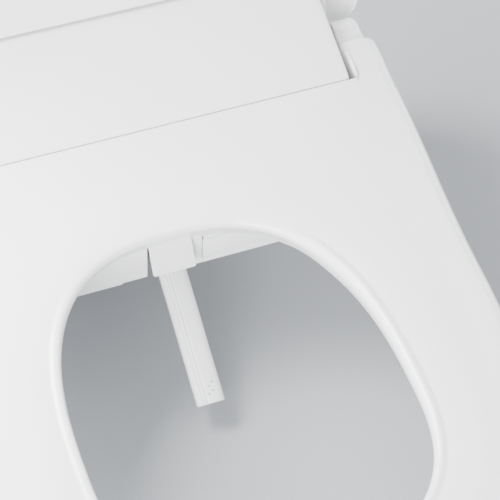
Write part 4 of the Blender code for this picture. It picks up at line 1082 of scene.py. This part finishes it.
# ---- nozzle, door and flap
@dataclass
class Nozzle:
    """The wash nozzle, its tip, the door over it and the dryer's flap."""

    half_x: float = 0.0102
    half_z: float = NOZZLE_HALF_Z
    reach: float = 0.0970
    inside: float = 0.040
    tip: float = 0.024
    end_edge: float = 0.0010
    seam: float = 0.00005
    grooves: tuple[float, float] = (-0.0060, -0.0034)
    groove_depth: float = 0.0011
    groove_width: float = 0.00055
    jets: tuple[tuple[float, float], ...] = (
        (-0.0006, -0.0905), (0.0026, -0.0885), (0.0006, -0.0850), (0.0034, -0.0825),
    )
    # Profile of a grey disc at each spray hole: painted shade that stands in for the dark inside of the hole.
    hole_shade_disc: tuple[tuple[float, float], ...] = ((-0.0006, 0.00075), (0.00006, 0.00075), (0.0001, 0.00066))
    leaf: tuple[float, float] = (-0.0018, 0.0007)
    pin_y: float = -0.0787
    door_pin: float = 0.0435
    flap_pin: float = 0.0363
    door_z: tuple[float, float] = (-0.0245, 0.0017)
    flap_x: tuple[float, float] = (0.0285, 0.0985)
    flap_z: tuple[float, float] = (-0.0211, -0.0024)
    band_x: tuple[float, float] = (0.0290, 0.0980)
    band_z: tuple[float, float] = (-0.0017, 0.0017)

    def section(self) -> Array:
        """The nozzle's section: a superellipse with two fine grooves along its top, towards the left."""
        ring = superellipse(self.half_x, self.half_z, 2.5, np.linspace(0, 2 * math.pi, 240, endpoint=False))
        top = ring[:, 1] > 0
        for x in self.grooves:
            dip = self.groove_depth * np.exp(-(((ring[:, 0] - x) / self.groove_width) ** 2))
            ring[:, 1] -= np.where(top, dip, 0.0)
        return ring

    def bar(self, ends: Sequence[tuple[float, float]]) -> Skin:
        """The section carried along the nozzle's axis, drawn in by the inset that goes with each place."""
        ring = self.section()
        rows = []
        for y, inset in ends:
            row = ring * np.array([1 - inset / self.half_x, 1 - inset / self.half_z])
            rows.append(np.stack([row[:, 0], np.full(len(row), y), row[:, 1]], -1))
        return Skin().tube(np.array(rows))

    def build(self, dresser: Dresser) -> None:
        """Makes the nozzle's pieces."""
        low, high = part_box("nozzle_tip")
        place = Place(((low[0] + high[0]) / 2, *NOZZLE_ROOT), NOZZLE_TURN)
        split = -self.reach + self.tip
        tube = self.bar([(split + self.seam, self.seam), (self.inside, 0.0)])
        dresser.piece(tube, "nozzle_tube", Look.NOZZLE, "nozzle", place, ["nozzle_body"])
        end = [(-self.reach + left, inset) for left, inset in quarter(self.end_edge, 6)[::-1]]
        cap = self.bar([*end, (split, 0.0)])
        dresser.piece(cap, "nozzle_cap", Look.NOZZLE, "nozzle", place, ["nozzle_tip"])
        # Nearly flush grey discs at the spray holes on the tip: painted shade in place of open holes.
        for number, (x, y) in enumerate(self.jets):
            skin = turned(np.array(self.hole_shade_disc), (x, y, self.half_z - 0.0001), 2, 24)
            dresser.piece(skin, f"nozzle_hole_shade_{number + 1}", Look.GREY, "nozzle", place, [])
        dresser.keep(Look.GREY, "nozzle_rack", "nozzle_pinion", "nozzle_guide")
        dresser.keep(Look.STEEL, "nozzle_motor", "nozzle_door_pin", "dryer_flap_pin")
        self.flaps(dresser)

    def flaps(self, dresser: Dresser) -> None:
        """The nozzle's door, swung out, and the dryer's flap, shut, with a fixed band over its pin."""
        door = Place((0.0, self.pin_y, self.door_pin), -math.radians(30.0))
        flap = Place((0.0, self.pin_y, self.flap_pin), 0.0)
        low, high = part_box("nozzle_door")
        door_x = (low[0], high[0])
        for name, body, place, nodes, x, z, corner, edge in (
            ("nozzle_door_leaf", "door", door, ["nozzle_door"], door_x, self.door_z, 0.0012, 0.0005),
            ("dryer_flap_leaf", "flap", flap, ["dryer_flap"], self.flap_x, self.flap_z, 0.0010, 0.0004),
            ("dryer_flap_band", "housing", flap, [], self.band_x, self.band_z, 0.0006, 0.0004),
        ):
            skin = rounded_block((x[0], self.leaf[0], z[0]), (x[1], self.leaf[1], z[1]), corner, edge)
            dresser.piece(skin, name, Look.GLOSS, body, place, nodes)


# ---- carried-over works and fixings
@dataclass
class Works:
    """The parts inside the housing and those that fix it to the bowl, which keep their CAD shapes."""

    def build(self, dresser: Dresser) -> None:
        """Dresses the nodes."""
        dresser.keep(Look.GREY, "dryer_duct", "fan_housing", "solenoid_valve", "release_button")
        dresser.keep(Look.FOIL, "dryer_heater")
        dresser.keep(Look.STEEL, "fan_motor", "release_latch")
        dresser.keep(Look.SATIN, "fan_rotor", "water_heater", "power_button", "wash_button")
        dresser.keep(Look.PALE, "feed_hose")
        dresser.keep(Look.DARK, "cord_gland")
        dresser.keep(Look.BRASS, "water_inlet")
        dresser.keep(Look.BOARD, "control_board")
        dresser.keep(Look.GLOSS, "filter_drawer")
        dresser.keep(Look.CARBON, "filter_cartridge")
        for side in ("left", "right"):
            dresser.keep(Look.STEEL, f"cover_screw_{side}", f"mounting_bolt_{side}")
            dresser.keep(Look.SATIN, f"bolt_nut_{side}")
            dresser.keep(Look.DARK, f"bolt_bush_{side}")


# ---- studio
@dataclass
class Studio:
    """The floor, lights, sky and camera."""

    eye: tuple[float, float, float] = (-0.29882, -0.93469, 1.09575)
    right: tuple[float, float, float] = (0.933865, -0.356173, 0.032207)
    up: tuple[float, float, float] = (0.251512, 0.718125, 0.648875)
    ahead: tuple[float, float, float] = (0.254241, 0.597861, -0.760213)
    lens: float = 144.0
    floor: float = -0.062

    def build(self) -> None:
        """Makes the studio."""
        self.ground()
        self.sky()
        self.light("side_key", (1.5, 0.45, 0.35), (0.0, -0.05, 0.05), 1.0, 28.0)
        self.light("near_soft", (-0.42, 0.22, 0.62), (-0.12, -0.05, 0.05), 0.5, 32.0)
        self.light("front_fill", (-1.1, -1.7, 0.60), (0.0, -0.05, 0.0), 1.3, 125.0)
        self.camera()

    def ground(self) -> None:
        """A wide pale floor."""
        size = 12.0
        data = bpy.data.meshes.new("studio_floor")
        corners = [(x * size, y * size, self.floor) for x, y in ((-1, -1), (1, -1), (1, 1), (-1, 1))]
        data.from_pydata(corners, [], [(0, 1, 2, 3)])
        obj = bpy.data.objects.new("studio_floor", data)
        bpy.context.scene.collection.objects.link(obj)
        g = Graph("floor_paint")
        broad = g.noise(0.8)
        g.set(Base_Color=g.mix(broad, (0.335, 0.349, 0.367, 1), (0.355, 0.369, 0.387, 1)), Roughness=0.8)
        data.materials.append(g.material)

    def sky(self) -> None:
        """An even pale surround."""
        world = bpy.data.worlds.new("studio_sky")
        world.use_nodes = True
        background = world.node_tree.nodes["Background"]
        background.inputs["Color"].default_value = (0.86, 0.88, 0.92, 1)
        background.inputs["Strength"].default_value = 1.1
        bpy.context.scene.world = world

    def light(
        self, name: str, place: Sequence[float], aim: Sequence[float], size: float, power: float
    ) -> None:
        """A square soft light aimed at a point."""
        data = bpy.data.lights.new(name, "AREA")
        data.shape = "SQUARE"
        data.size = size
        data.energy = power
        obj = bpy.data.objects.new(name, data)
        bpy.context.scene.collection.objects.link(obj)
        obj.location = place
        obj.rotation_euler = (Vector(aim) - Vector(place)).to_track_quat("-Z", "Y").to_euler()

    def camera(self) -> None:
        """The camera, from its three directions."""
        data = bpy.data.cameras.new("camera")
        data.lens = self.lens
        data.sensor_width = 36.0
        obj = bpy.data.objects.new("camera", data)
        bpy.context.scene.collection.objects.link(obj)
        columns = [self.right, self.up, tuple(-v for v in self.ahead)]
        turn = Matrix([[columns[j][i] for j in range(3)] for i in range(3)]).to_4x4()
        obj.matrix_world = Matrix.Translation(self.eye) @ turn
        bpy.context.scene.camera = obj


def main() -> None:
    """Loads the frame and builds every sub-assembly in order."""
    logging.basicConfig(level=logging.INFO, format="%(name)s: %(message)s")
    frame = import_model()
    dresser = Dresser(frame)
    for assembly in (Seat(), Lid(), Housing(), Nozzle(), Works()):
        assembly.build(dresser)
    Studio().build()


if __name__ == "__main__":
    main()
